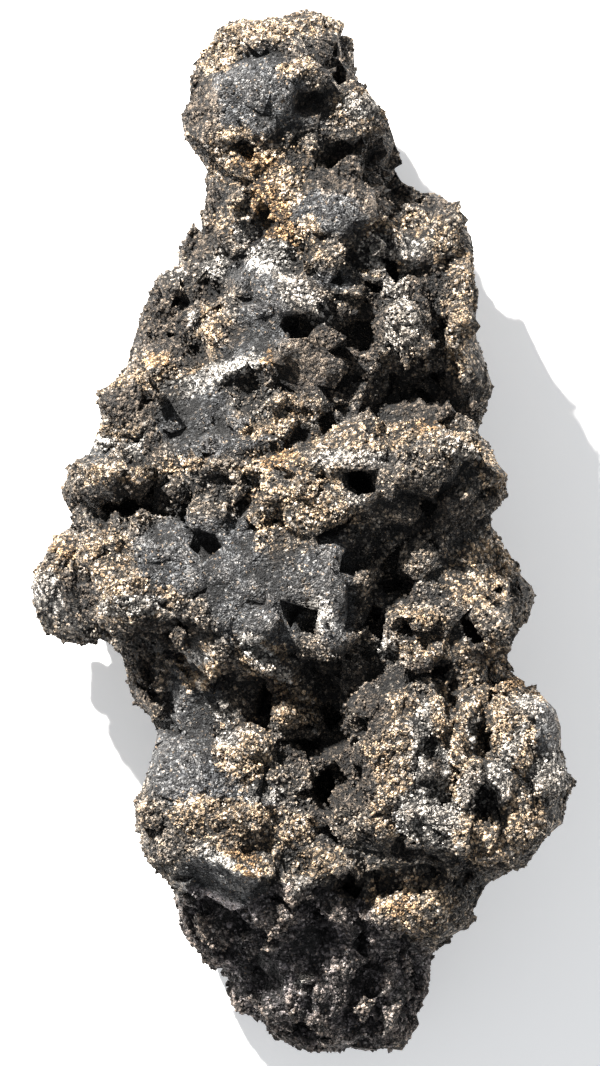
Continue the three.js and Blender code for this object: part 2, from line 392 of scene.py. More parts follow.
# %% Right shoulder
bump((8.9, 32.6), (0.7, 1.7), -2.6, 20)
slab((11.4, 29.4), (3.0, 1.6), 0.05, -0.2, 0, 0.3)
ledge([(7.8, 26.4), (9.4, 26.1), (10.8, 26.5), (12.6, 25.9)], 0.7, 0.8, 1.6, 0.8, 1.4)
ledge([(12.2, 25.6), (12.4, 27.2), (13.4, 29.0), (14.6, 31.0)], 0.2, 0.9, 1.2, 1.6, 1.2)
bump((9.8, 23.2), (2.0, 1.5), 1.3, -28, 4)
bump((9.7, 19.4), (2.5, 3.2), 1.9, 0, 4)
slab((10.2, 19.6), (2.2, 2.8), 0.25, -0.1)
bump((6.6, 19.6), (1.2, 3.0), -1.1, -6)
bump((10.4, 14.6), (3.2, 1.5), -2.4, -10)
slab((15.2, 21.0), (2.2, 7.6), 0.7, -0.05, 0, 0.7)
ledge([(12.6, 16.6), (14.4, 16.0), (16.2, 15.8), (17.4, 15.2)], 0.5, 1.4, 1.4, 1.2, 2.0)
drawn("the right shoulder")

# %% Wing
ledge(
    [
        (-18.8, 14.2), (-17.2, 14.4), (-15.6, 14.2), (-14.2, 13.8), (-12.8, 12.9), (-11.2, 12.6),
        (-9.6, 13.4), (-8.0, 14.4),
    ],
    1.0, 0.9, 1.2, 1.0, 2.4,
)
slab((-11.4, 14.0), (2.0, 0.9), 0.0, -0.6, 16, 0.4)
ledge(
    [(-20.0, 9.0), (-18.4, 8.8), (-16.8, 9.2), (-15.0, 9.8), (-13.2, 10.8), (-11.6, 11.6)],
    0.9, 0.7, 1.4, 0.8, 1.2,
)
bump((-16.8, 7.8), (0.9, 0.9), 0.8)
bump((-14.2, 7.9), (0.9, 1.4), -1.6, 20)
slab((-10.2, 11.4), (3.2, 2.6), -0.1, 0.35, 20, -0.3)
slab((-6.4, 12.6), (3.0, 1.7), -0.1, 0.5, 8, 0.0)
ledge([(-22.4, 4.6), (-20.4, 4.7), (-18.4, 4.6), (-16.4, 4.4), (-14.6, 4.0)], 1.1, 1.2, 2.0, 2.4, 0.6)
ledge([(-14.4, 5.6), (-12.6, 5.2), (-11.0, 5.8), (-9.0, 6.0), (-7.2, 5.4)], 0.9, 0.9, 1.2, 1.4, 1.0)
ledge([(-13.2, 7.0), (-11.4, 8.0), (-9.4, 8.4), (-7.4, 8.0)], 0.5, 0.6, 1.2, 0.6, 0.8)
ledge(
    [(-7.6, 11.4), (-5.8, 11.0), (-4.2, 11.4), (-2.6, 12.2), (-0.4, 12.4), (2.0, 12.8)],
    0.6, 0.9, 1.4, 0.8, 1.2,
)
ledge(
    [(-8.0, 8.6), (-6.0, 8.4), (-4.0, 8.8), (-2.4, 9.4), (-0.6, 10.2), (1.6, 10.6)],
    0.7, 0.9, 1.2, 0.7, 1.0,
)
ledge([(-8.4, 6.6), (-6.4, 6.4), (-4.6, 6.4), (-3.0, 7.0), (-1.4, 7.9)], 0.5, 0.8, 1.0, 0.7, 0.8)
ledge([(-9.4, 2.4), (-7.6, 2.8), (-5.8, 3.6), (-4.4, 3.4)], 0.6, 0.5, 1.4, 0.6, 1.0)
profile(
    [(-19.6, 2.0), (-16.6, 2.0), (-14.0, 1.9), (-10.2, 1.8)],
    [(-0.9, 0), (0, -1.8), (0.3, -2.4), (0.8, 0)],
)
drawn("the wing")

# %% Shelf
profile(
    [
        (-1.6, 9.4), (0.8, 8.8), (2.2, 10.0), (3.6, 11.6), (6.0, 11.9), (8.4, 12.0), (10.0, 13.2),
        (12.0, 12.8), (14.4, 11.8),
    ],
    [(-1.6, 0), (-0.6, -2.0), (0.2, -2.0), (1.0, 0.3), (2.6, 0)],
)
ledge([(1.8, 6.7), (3.4, 6.2), (5.2, 6.0), (6.8, 6.3), (8.0, 7.0)], 1.2, 1.5, 2.4, 0.5, 2.0)
bump((5.3, 5.0), (1.3, 1.0), -3.6, 0, 4)
bump((8.0, 4.4), (0.5, 1.3), -1.8)
bump((7.1, 4.8), (0.5, 0.9), 0.7)
slab((5.3, 3.3), (1.5, 0.9), 0.1, -0.9, 8, 0.7)
ledge(
    [(-2.2, 1.6), (-1.0, 0.7), (0.6, 0.1), (2.2, 0.1), (3.4, 1.0), (4.6, 2.1), (6.6, 2.6)],
    1.0, 1.8, 3.0, 0.8, 1.6,
)
ledge(
    [
        (6.8, 3.0), (8.4, 5.6), (9.8, 5.4), (11.2, 4.8), (12.6, 5.6), (13.6, 6.8), (15.0, 7.5),
        (16.4, 6.4), (17.6, 6.2), (19.2, 4.6),
    ],
    1.2, 1.8, 2.2, 2.4, 3.0,
)
slab((14.2, 9.0), (2.6, 1.2), 0.1, -0.4, -20, 0.4)
bump((18.6, 5.8), (1.3, 1.8), 0.9)
bump((7.8, 9.2), (1.3, 0.7), -0.8, 20)
bump((11.0, 7.0), (1.2, 1.0), -0.8)
drawn("the shelf")

# %% Dome
ledge([(10.0, -1.6), (12.4, -1.2), (15.0, -0.6), (17.4, -0.8), (19.4, -1.6)], -0.2, 0.5, 1.0, 0.6, 1.4)
bump((16.0, -5.4), (5.0, 3.6), 0.7)
slab((19.2, -5.4), (3.8, 6.8), 0.8, 0.0, 0, 1.7)
bump((10.0, -5.0), (1.3, 1.7), -2.6, 20)
bump((13.2, -6.6), (1.2, 0.9), -0.9)
ledge(
    [(8.4, -7.4), (10.4, -8.0), (12.2, -8.2), (14.2, -8.9), (16.2, -8.7), (18.6, -8.8)],
    0.7, 1.2, 1.4, 1.0, 1.4,
)
ledge([(8.8, -11.8), (10.8, -12.1), (12.8, -12.0), (14.6, -11.8), (16.2, -12.6)], 0.6, 0.7, 2.0, 0.8, 1.4)
profile([(17.4, -8.8), (17.4, -11.0), (17.8, -13.4)], [(-0.6, 0), (-0.2, -1.8), (0.3, -1.8), (0.7, 0)])
bump((8.6, -11.2), (1.2, 1.0), 0.9)
bump((20.7, -9.7), (0.9, 0.9), 0.9)
ledge([(19.6, -3.9), (20.6, -4.2), (21.8, -4.6)], 0.6, 1.4, 1.2, 1.6, 0.8)
bump((19.2, -2.6), (1.6, 1.2), 0.7, -30)
drawn("the dome")

# %% Cheek and the lobe behind it
bump((-19.4, -5.2), (3.0, 3.6), 1.6)
ledge(
    [(-26.2, -5.8), (-24.6, -5.2), (-23.0, -4.5), (-21.6, -3.6), (-20.4, -2.8)],
    0.9, 1.4, 2.4, 1.6, 1.6,
)
crack([(-20.4, -3.0), (-20.1, -5.0), (-19.9, -8.2)], 0.8, 2.4)
ledge([(-19.6, -0.2), (-17.6, 0.0), (-15.8, -0.3), (-13.6, -0.2)], 0.2, 0.8, 1.2, 1.2, 1.2)
slab((-15.8, -6.4), (4.0, 1.6), 0.0, -0.35, 4, 0.6)
ledge(
    [
        (-21.4, -10.6), (-19.4, -10.9), (-17.6, -10.4), (-16.2, -9.6), (-14.6, -9.2), (-13.0, -8.4),
        (-11.6, -7.2), (-10.4, -6.4),
    ],
    0.9, 1.2, 2.0, 1.4, 1.2,
)
ledge([(-14.0, -5.9), (-12.6, -6.1), (-11.4, -5.3), (-10.2, -4.2), (-9.2, -3.0)], 0.5, 1.3, 1.2, 0.8, 1.0)
bump((-8.4, -5.0), (1.0, 0.9), -1.8)
crack([(-9.0, 0.6), (-9.3, -1.2), (-9.2, -3.2)], 0.5, 1.3)
bump((-9.9, -14.2), (1.0, 0.9), -1.2)
bump((-8.5, -14.4), (0.6, 1.1), -1.0)
crack([(-7.9, -15.6), (-8.0, -18.0), (-8.0, -22.0)], 0.4, 1.2)
ridge([(-7.4, -16.0), (-7.5, -18.2)], 0.35, 0.6)
drawn("the cheek")

# %% Waist
crack([(-4.5, 1.8), (-4.2, -0.6), (-4.1, -3.8)], 0.5, 1.2)
crack([(-2.5, 1.4), (-2.1, -0.8), (-1.7, -2.9)], 0.45, 1.1)
bump((-3.4, 0.4), (1.2, 1.6), 0.8)
bump((-1.0, -0.9), (0.8, 1.8), 0.6)
crack([(0.9, 0.2), (1.1, -2.0), (1.1, -3.8), (0.5, -6.2), (0.2, -9.8)], 0.5, 1.5)
bump((3.0, -5.8), (1.9, 6.2), 1.0, 2, 3)
ridge([(2.2, -3.8), (2.0, -6.0), (1.6, -9.6)], 0.8, 0.4)
crack([(2.4, -0.6), (2.3, -3.6)], 0.25, 0.8)
crack([(5.2, -1.6), (5.0, -5.0), (5.2, -9.8)], 0.6, 1.0)
crack([(7.7, -6.6), (7.6, -9.4)], 0.4, 1.6)
bump((6.4, -5.6), (0.9, 4.0), 0.5)
bump((-2.0, -7.0), (1.6, 4.0), 0.7, -4)
crack([(-4.2, -6.8), (-4.6, -10.2)], 0.5, 0.8)
ledge(
    [(-5.0, -13.4), (-3.8, -13.9), (-2.4, -14.8), (-0.8, -15.2), (1.2, -15.8), (2.4, -16.6)],
    0.8, 1.4, 2.4, 0.6, 0.6,
)
ledge([(-0.6, -12.0), (1.0, -12.3), (3.0, -12.1), (4.8, -12.3)], 0.3, 2.8, 1.0, 0.8, 1.6)
ledge([(-9.6, -11.2), (-7.6, -10.6), (-5.8, -10.9)], 0.3, 0.9, 1.2, 0.8, 1.4)
drawn("the waist")

# %% Cleft
bump((-0.4, -17.2), (2.5, 2.0), 1.8)
bump((-3.6, -16.0), (0.9, 2.2), -2.6, 12)
bump((3.3, -17.6), (1.2, 4.0), -4.0, -4, 3)
bump((0.6, -20.8), (2.8, 1.5), -2.4)
bump((2.5, -25.2), (1.3, 2.3), -5.0, 0, 4)
bump((6.1, -25.6), (0.8, 2.0), -3.4, 0, 3)
bump((4.6, -24.6), (0.8, 1.4), 0.6)
bump((1.4, -22.8), (1.2, 0.7), 0.6)
drawn("the cleft")

# %% Left hip
slab((-11.0, -22.4), (3.4, 3.8), 0.06, 0.04, 0, 0.3)
bump((-5.3, -20.9), (2.7, 3.0), 1.5)
bump((-4.3, -21.5), (0.7, 0.7), -1.6)
bump((-3.2, -22.6), (0.7, 0.8), -1.2)
bump((-9.6, -20.8), (0.6, 0.5), -1.2)
slab((-4.2, -25.0), (3.0, 1.2), -0.05, -0.2, 0, 0.5)
ledge(
    [
        (-9.4, -25.6), (-7.2, -26.1), (-5.6, -26.0), (-4.6, -26.8), (-3.4, -27.5), (-1.8, -27.0),
        (0.0, -26.5),
    ],
    0.5, 0.6, 1.0, 0.6, 1.6,
)
slab((-6.4, -30.4), (4.4, 2.2), 0.05, -0.3, -22, 0.2)
ledge(
    [
        (-12.0, -28.6), (-10.6, -29.6), (-9.0, -30.4), (-7.2, -31.6), (-5.8, -32.4), (-4.5, -32.9),
        (-2.8, -32.2),
    ],
    1.2, 2.2, 1.8, 3.4, 1.0,
)
ledge([(-12.4, -26.6), (-10.8, -27.0), (-9.6, -27.8), (-8.4, -28.4)], 0.5, 0.4, 0.8, 0.4, 1.0)
ledge(
    [(-9.0, -34.8), (-7.2, -35.6), (-5.8, -36.8), (-4.0, -37.3), (-2.4, -36.8)],
    0.2, 1.8, 0.8, 0.8, 2.0,
)
ledge([(-1.2, -29.8), (0.4, -29.3), (2.0, -28.8), (4.0, -28.6)], 0.6, 1.0, 1.0, 0.7, 1.0)
ledge([(-3.2, -30.8), (-2.0, -31.4), (-0.8, -32.0)], 0.5, 0.8, 0.8, 0.4, 0.8)
ledge(
    [(-2.0, -32.8), (-0.4, -33.8), (0.4, -34.1), (1.8, -33.3), (3.4, -32.8), (5.0, -31.8)],
    1.0, 2.8, 1.8, 1.4, 2.0,
)
bump((4.4, -34.0), (1.8, 1.6), -2.0, 20)
ridge([(-5.0, -10.8), (-3.0, -12.6), (-0.8, -14.6)], 1.6, 1.2)
bump((3.8, -23.0), (1.5, 3.0), -1.8)
drawn("the left hip")

# %% Right hip
bump((6.6, -19.0), (2.8, 3.4), 0.8)
bump((6.0, -21.2), (1.3, 0.7), -0.9)
ridge([(12.2, -15.8), (11.9, -20.0), (11.9, -24.0), (11.8, -27.8)], 0.8, 0.6)
ledge([(10.8, -18.6), (10.9, -21.4)], -0.2, 1.0, 0.6, 0.4, 0.6)
bump((11.8, -27.8), (2.6, 2.2), 1.0)
ledge([(16.6, -21.4), (16.5, -18.0), (16.6, -15.0)], 0.7, 0.4, 1.2, 0.6, 1.8)
profile(
    [(14.0, -32.5), (14.0, -13.0)],
    [
        (0, 0), (1, 0.9), (2, 2.5), (3, 5.0), (4, 6.9), (6, 6.9), (8.5, 6.9), (10.5, 7.0), (12, 7.0),
        (13, 6),
    ],
    2.0,
)
bump((18.4, -29.4), (6.4, 3.0), 2.8, 0, 4)
bump((15.8, -29.0), (1.3, 2.6), 2.2)
bump((20.6, -25.4), (2.4, 2.6), 1.0)
ledge(
    [(17.4, -27.0), (19.2, -25.2), (20.4, -23.0), (21.8, -20.8), (22.2, -17.6)],
    0.6, 0.4, 2.2, 0.6, 2.0,
)
slab((23.4, -18.6), (1.6, 3.2), -0.5, 0.0, 0, 0.4)
slab((24.2, -23.6), (1.7, 1.8), -0.1, -0.3, 0, 0.8)
bump((19.4, -27.0), (0.9, 0.6), -0.8)
ledge(
    [(7.4, -28.9), (9.0, -28.7), (10.6, -28.9), (12.0, -29.6), (13.2, -30.8), (14.6, -31.6)],
    0.8, 1.3, 2.0, 1.2, 1.2,
)
bump((13.0, -28.8), (4.4, 2.6), 0.8, -14, 4)
ledge([(13.8, -31.0), (16.4, -31.7), (18.8, -31.8), (21.0, -30.6)], 0.8, 0.8, 2.4, 1.2, 1.0)
bump((10.6, -35.8), (5.4, 4.6), 1.6, 0, 3)
slab((10.2, -35.6), (4.0, 2.6), -0.1, -0.3, 0, 0.3)
drawn("the right hip")

# %% Foot
ridge([(-3.6, -45.8), (-1.6, -43.4), (0.6, -41.0)], 1.4, 0.7)
bump((3.6, -43.8), (0.6, 0.6), -0.8)
crack([(4.8, -44.6), (4.6, -46.8)], 0.4, 0.9)
crack([(6.3, -43.6), (6.2, -49.0)], 0.5, 1.1)
ridge([(8.2, -43.0), (9.2, -41.0), (9.6, -39.8)], 0.3, 0.4)
crack([(9.8, -41.0), (9.9, -47.6)], 0.6, 1.2)
ridge([(11.2, -40.6), (11.0, -47.4)], 0.5, 0.5)
crack([(-6.6, -38.4), (-6.0, -43.6)], 0.6, 0.5)

print("the relief is drawn:", sheet.min().round(1), "to", sheet.max().round(1), "hundredths high")

# %% [markdown]
# ## Smooth randomness
#
# Rock has no repeats, so its roughness comes from random fields: a coarse lattice of random numbers,
# stretched over the grid by smooth splines. The lattice's spacing is the size of the lumps.

# %% Random fields that fill the grid
SPLINE_GAIN = {2: 2.0, 3: 2.6}  # the splines flatten the numbers, and this brings them back


def spline_weights(places):
    """How much each lattice point counts at each place, for a smooth cubic spline."""
    first = np.floor(places).astype(int)
    t = (places - first)[:, None]
    shares = np.hstack([(1 - t) ** 3, 3 * t**3 - 6 * t**2 + 4, -3 * t**3 + 3 * t**2 + 3 * t + 1, t**3]) / 6
    weights = np.zeros((len(places), first.max() + 4), np.float32)
    for i in range(4):
        weights[np.arange(len(places)), first + i] = shares[:, i]
    return weights


def random_field(wave, seed, dimensions=3):
    """Smooth random values over the grid, about -1 to 1, in lumps as wide as wave."""
    dice = np.random.default_rng(seed)
    weights = [spline_weights((axis - axis[0]) / wave) for axis in axes[:dimensions]]
    field = dice.uniform(-1, 1, [w.shape[1] for w in weights]).astype(np.float32)
    for w in weights:
        field = np.moveaxis(np.tensordot(w, field, (1, 0)), 0, dimensions - 1)
    return np.ascontiguousarray(field) * np.float32(SPLINE_GAIN[dimensions])


# %% [markdown]
# ## Pressing the relief into the stone
#
# Every upright column of cubes is slid up or down by the height that the sheet gives above its top.
# The sliding fades out towards the floor, so the rock keeps its base. The sheet is read a little
# astray by random offsets, which frays every clean stroke into a broken edge.

# %% Between the stone and the sheet
def top_heights(field):
    """Height of the upper surface over each column of cubes."""
    solid = field < 0
    last = solid.shape[2] - 2 - np.argmax(solid[:, :, -2::-1], axis=2)
    inside = np.take_along_axis(field, last[:, :, None], 2)[:, :, 0]
    outside = np.take_along_axis(field, last[:, :, None] + 1, 2)[:, :, 0]
    part = np.clip(inside / np.minimum(inside - outside, -1e-6), 0, 1)
    heights = axes[2][last] + part * CUBE
    return np.where(solid.any(2), heights, OUTLINE_LEVEL).astype(np.float32)


def apparent(x, y, height):
    """Where the camera sees a place on the sheet."""
    shrink = 1 - (height - OUTLINE_LEVEL) / CAMERA_RISE
    return x / shrink, y / shrink


def read_sheet(values, x, y):
    """The sheet's values at these places."""
    i = np.clip((x - sheet_x[0]) / SHEET_CELL, 0, len(sheet_x) - 2)
    j = np.clip((y - sheet_y[0]) / SHEET_CELL, 0, len(sheet_y) - 2)
    i0, j0 = i.astype(int), j.astype(int)
    a, b = i - i0, j - j0
    near = values[i0, j0] * (1 - a) + values[i0 + 1, j0] * a
    far = values[i0, j0 + 1] * (1 - a) + values[i0 + 1, j0 + 1] * a
    return near * (1 - b) + far * b


# %% The relief in the field
FRAYS = ((3.2, 0.42), (1.4, 0.30), (0.75, 0.16))  # wave and reach of the offsets
SLIDES_FROM, SLIDES_FULLY = 3.0, 8.0  # heights between which the sliding sets in
LEAST_SLOPE = 0.8  # below this, distances aren't stretched any further


def within_outline(field, slack):
    """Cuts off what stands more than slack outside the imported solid's outline."""
    return np.maximum(field, footprint[:, :, None] - slack)


footprint = stone.min(2)
across_grid, along_grid = np.meshgrid(axes[0], axes[1], indexing="ij")
seen_x, seen_y = apparent(across_grid, along_grid, blurred(top_heights(stone), 4))
frayed_x, frayed_y = seen_x.copy(), seen_y.copy()
for number, (wave, reach) in enumerate(FRAYS):
    frayed_x += random_field(wave, SEED + number, 2) * reach
    frayed_y += random_field(wave, SEED + 10 + number, 2) * reach
slide = read_sheet(sheet, frayed_x, frayed_y).astype(np.float32)
worn_away = np.clip(0.1 + random_field(1.9, SEED + 5, 2) * 0.5, -0.3, 0.7)
slide -= np.clip(slide, -1.5, 1.5) * worn_away

setting_in = np.clip((axes[2] - SLIDES_FROM) / (SLIDES_FULLY - SLIDES_FROM), 0, 1)
setting_in = setting_in**2 * (3 - 2 * setting_in)
source = np.arange(len(axes[2])) - slide[:, :, None] * (setting_in / CUBE)
source = np.clip(source, 0, len(axes[2]) - 2).astype(np.float32)
lower = source.astype(np.int32)
part = source - lower
stone = np.take_along_axis(stone, lower, 2) * (1 - part) + np.take_along_axis(stone, lower + 1, 2) * part
stone = within_outline(stone, 0.1)
del source, lower, part

# Sliding has squeezed and stretched the distances. Dividing by their slope makes them true again.
slopes = np.sqrt(sum(g * g for g in np.gradient(stone, CUBE)))
stone /= np.maximum(blurred(slopes, rounds=2), LEAST_SLOPE)
del slopes
print("the relief is in the stone, slid by up to", np.abs(slide).max().round(1))

# %% [markdown]
# ## Shaping tools
#
# The sheet can't reach under a ledge or into the rock's sides, so some places are shaped in the
# round. `mould` adds a block with rounded edges to the stone, or carves one away. `square` says how
# sharp its edges are: 2 is an egg, 4 a worn block and 8 a fresh one. Large blocks are bent by
# random offsets, so none looks machined.

# %% Tools that add and carve
bends = [
    random_field(4.4, SEED + 20 + i) * 0.75 + random_field(1.6, SEED + 30 + i) * 0.4
    for i in range(3)
]


def index_of(value, axis):
    """The cube that holds this place along one axis."""
    return int(np.clip(round((value - float(axes[axis][0])) / CUBE), 0, len(axes[axis]) - 1))


def block_distance(offsets, size, square):
    """About how far each place is from the skin of a rounded block, negative inside it."""
    shares = [(v / w) ** 2 for v, w in zip(offsets, size)]
    total = sum(s ** (square // 2) for s in shares) + 1e-6
    slope = sum(s ** (square - 1) / w**2 for s, w in zip(shares, size)) + 1e-9
    norm = total ** (1 / square)
    return (norm - 1) * total / (norm * np.sqrt(slope))


def smooth_less(a, b, soft):
    """The lesser of two distances, with the crease between them filled over a width of soft."""
    overlap = np.maximum(soft - np.abs(a - b), 0) / soft
    return np.minimum(a, b) - overlap * overlap * (soft / 4)


def mould(centre, size, angles, square, soft, sign, bend=1.0):
    """Adds a block to the stone, or carves it away if sign is -1."""
    turned = np.array(Euler([math.radians(a) for a in angles]).to_matrix(), np.float32)
    reach = np.abs(turned) @ np.array(size) * 1.1 + soft + 1.2 * bend + CUBE
    window = tuple(
        slice(index_of(centre[a] - reach[a], a), index_of(centre[a] + reach[a], a) + 1) for a in range(3)
    )
    offsets = []
    for axis in range(3):
        shape = [1, 1, 1]
        shape[axis] = -1
        offset = (axes[axis][window[axis]] - np.float32(centre[axis])).reshape(shape)
        if bend:
            here = bends[axis][tuple(index_of(centre[a], a) for a in range(3))]
            offset = offset + (bends[axis][window] - here) * np.float32(bend)
        offsets.append(offset)
    local = [sum(turned[row, axis] * offsets[row] for row in range(3)) for axis in range(3)]
    block = block_distance(local, size, square)
    stone[window] = sign * smooth_less(sign * stone[window], block, soft)


print("blocks are bent by up to", round(float(np.abs(bends[0]).max()), 1), "hundredths")


# %% [markdown]
# ## The sides
#
# Round the flanks the lava is stacked in rough shelves with long clefts between them. The dice
# choose places on the steep sides. Flat hollows are pressed in from outside at some of them, and
# knobs are added at others.

# %% Clefts and knobs round the flanks
FLANK_TOP = 20.0  # flanks are lower than this
FLANK_BASE = 1.5  # and higher than this, so the rock keeps its base
FLANK_STEEPNESS = 0.8  # the most that a flank faces up or down, as a share of how it faces outwards


def flank_places(count, seed):
    """Random places on the steep sides, with the direction that faces outwards."""
    dice = np.random.default_rng(seed)
    near = np.argwhere(np.abs(stone[:, :, : index_of(FLANK_TOP, 2)]) < CUBE * 0.5)
    spots = near[dice.choice(len(near), count, replace=False)]
    for i, j, k in spots:
        out_x = stone[i + 2, j, k] - stone[i - 2, j, k]
        out_y = stone[i, j + 2, k] - stone[i, j - 2, k]
        out_z = stone[i, j, k + 2] - stone[i, j, k - 2]
        steep = abs(out_z) < FLANK_STEEPNESS * math.hypot(out_x, out_y)
        if steep and axes[2][k] > FLANK_BASE:
            place = (float(axes[0][i]), float(axes[1][j]), float(axes[2][k]))
            yield place, math.degrees(math.atan2(out_y, out_x)), dice


for place, facing, dice in flank_places(260, SEED + 41):
    size = (dice.uniform(0.8, 1.9), dice.uniform(1.6, 4.2), dice.uniform(0.35, 0.8))
    angles = (dice.uniform(-30, 30), dice.uniform(-15, 15), facing)
    mould(place, size, angles, square=4, soft=0.4, sign=-1)
for place, facing, dice in flank_places(200, SEED + 42):
    size = (dice.uniform(0.6, 1.2), dice.uniform(0.9, 2.4), dice.uniform(0.6, 1.4))
    angles = (dice.uniform(-40, 40), dice.uniform(-15, 15), facing)
    mould(place, size, angles, square=4, soft=0.5, sign=1)
stone = within_outline(stone, 0.2)
print("the flanks are shaped")

# %% [markdown]
# ## Finishes
#
# Places that differ in colour differ in feel as well: the blue-grey faces are smooth and the tan
# crust is crumbly. So each finish has a list of soft-edged ovals on the sheet, which serve both the
# relief and the colours. An oval is its middle, its half widths and its turn.

# %% Slate, the smooth blue-grey faces
PATCHES = {}  # every finish with its ovals
PATCHES["slate"] = [
    (-4.2, 42.8, 4.4, 3.6, -10), (-2.2, 39.6, 4.8, 0.9, 6), (-7.4, 39.2, 2.6, 1.2, 10),
    (3.6, 31.0, 4.0, 2.0, -4), (3.6, 24.4, 2.0, 1.0, 0), (-3.6, 20.6, 2.4, 3.0, 0),
    (-6.6, 17.0, 3.2, 1.7, 8), (0.2, 16.4, 2.6, 2.8, 0), (-10.2, 11.2, 3.6, 2.6, 18),
    (-10.2, 7.5, 2.6, 0.8, 10), (-5.2, 9.6, 3.0, 1.4, 24), (-10.6, -2.0, 5.4, 3.4, 6),
    (-5.6, -4.6, 3.2, 5.6, 0), (-2.2, -7.2, 2.4, 4.4, 0), (3.2, -5.6, 1.9, 5.6, 2),
    (-10.8, -22.0, 3.6, 4.4, 0), (-10.2, -15.4, 2.2, 4.2, 0), (23.5, -18.8, 1.2, 3.0, 0),
    (-7.4, -34.0, 4.2, 2.6, -24), (-4.6, 24.8, 2.2, 1.6, 0), (-19.8, 8.2, 1.6, 1.4, 0),
    (-4.6, -25.2, 2.6, 1.2, -4),
]
print("slate:", len(PATCHES["slate"]), "ovals")

# %% Tan, the crumbly crust
# Most tan ovals are crust. Some, such as those on the right hip, also lighten places that the key lamp
# leaves dark, and there the tan is painted light.
PATCHES["tan"] = [
    (-7.2, 46.6, 2.8, 1.5, 42), (-2.6, 48.8, 3.6, 1.3, 8), (2.6, 48.7, 2.6, 1.3, -14),
    (0.2, 44.9, 2.6, 0.8, 12), (-3.2, 35.4, 5.6, 2.2, 0), (-7.4, 38.3, 2.4, 0.8, 6),
    (5.6, 40.6, 2.6, 2.0, 0), (8.2, 27.8, 2.0, 2.6, 0), (7.2, 26.0, 1.4, 1.4, 0),
    (0.6, 28.2, 1.6, 1.6, 0), (15.2, 21.6, 1.4, 2.6, 0), (-6.8, 30.2, 2.0, 1.4, 0),
    (11.6, 29.4, 3.0, 1.4, 0), (15.2, 18.6, 1.4, 3.6, 0), (13.6, 27.2, 1.6, 1.6, 0),
    (-8.6, 20.0, 1.6, 1.8, 0), (-10.6, 15.9, 2.6, 1.3, -10), (-14.0, 16.8, 1.5, 0.9, 0),
    (-15.4, 14.6, 3.2, 0.9, 0), (-18.2, 9.6, 2.6, 1.0, 12), (-17.8, 5.6, 3.8, 1.0, 0),
    (-12.0, 6.4, 3.0, 0.8, 6), (-0.4, 12.9, 1.8, 0.7, 10), (-3.0, 7.0, 2.6, 1.2, 20),
    (-2.0, 10.6, 3.6, 0.8, 16), (6.0, 9.2, 5.4, 1.3, 4), (1.4, 4.6, 2.2, 1.6, 0),
    (-2.8, 3.2, 2.2, 1.4, 0), (15.2, 8.4, 2.6, 1.4, -28), (2.4, 2.2, 3.2, 1.6, 0),
    (18.7, 5.6, 1.4, 1.9, 0), (18.6, -2.0, 2.6, 1.4, -20), (17.0, -4.6, 3.2, 2.6, 0),
    (13.0, -11.0, 3.8, 1.0, 0), (11.6, -8.0, 2.6, 0.8, -14), (-21.8, -1.8, 2.4, 1.4, -24),
    (-18.4, -3.6, 2.2, 3.8, 0), (-15.8, -6.8, 4.2, 1.2, 4), (-24.6, -4.8, 1.4, 2.0, -30),
    (-9.8, -12.8, 1.8, 2.0, 0), (-3.0, -12.8, 3.4, 1.7, -38), (-0.4, -17.0, 2.2, 1.8, 0),
    (-5.4, -20.8, 2.6, 2.8, 0), (17.6, -12.8, 2.4, 2.2, 0), (9.6, -22.6, 3.4, 6.6, 0),
    (19.2, -30.0, 3.0, 1.6, 20), (18.6, -17.6, 1.8, 2.4, 0), (20.4, -21.6, 1.8, 3.6, -20),
    (21.0, -27.6, 2.6, 2.0, 30), (22.2, -15.0, 2.0, 1.2, 0), (-6.6, -26.6, 3.8, 0.9, -4),
    (-5.2, -31.0, 2.8, 1.8, -30), (-10.6, -27.6, 2.2, 1.2, -34), (-1.6, -28.6, 3.2, 1.6, 0),
    (2.0, -31.6, 2.4, 1.4, 10), (10.4, -35.8, 3.8, 3.0, 0), (-7.4, -28.2, 3.4, 1.6, -18),
    (14.6, -28.6, 2.4, 1.6, -14), (18.4, -26.0, 3.0, 4.0, 0), (15.4, -21.6, 3.4, 7.0, 0),
    (-2.4, 33.2, 2.6, 1.8, 0), (-17.8, -6.0, 3.2, 2.4, 0), (-2.4, 1.8, 2.4, 1.8, 0),
    (20.4, -3.4, 1.4, 2.6, 0), (15.4, 25.0, 1.2, 3.4, 0), (3.4, -20.6, 1.0, 2.0, 0),
]
print("tan:", len(PATCHES["tan"]), "ovals")

# %% Ochre, the rusty stains
PATCHES["ochre"] = [
    (-2.6, 30.4, 1.6, 3.6, 20), (-1.4, 27.4, 1.2, 1.6, 20), (-3.1, 16.9, 0.8, 0.6, 0),
    (1.3, 35.2, 1.0, 0.7, 0), (-1.8, 7.0, 1.6, 0.8, 12), (-5.0, -31.6, 1.9, 0.9, -30),
    (-13.8, 16.6, 1.2, 0.6, 0), (12.0, 10.6, 1.6, 0.7, 0), (-22.6, -1.6, 1.2, 0.7, -24),
    (20.8, -14.6, 1.2, 0.6, 0), (-4.4, 35.6, 2.2, 0.9, 0), (9.6, -36.0, 1.2, 0.9, 0),
]
print("ochre:", len(PATCHES["ochre"]), "ovals")

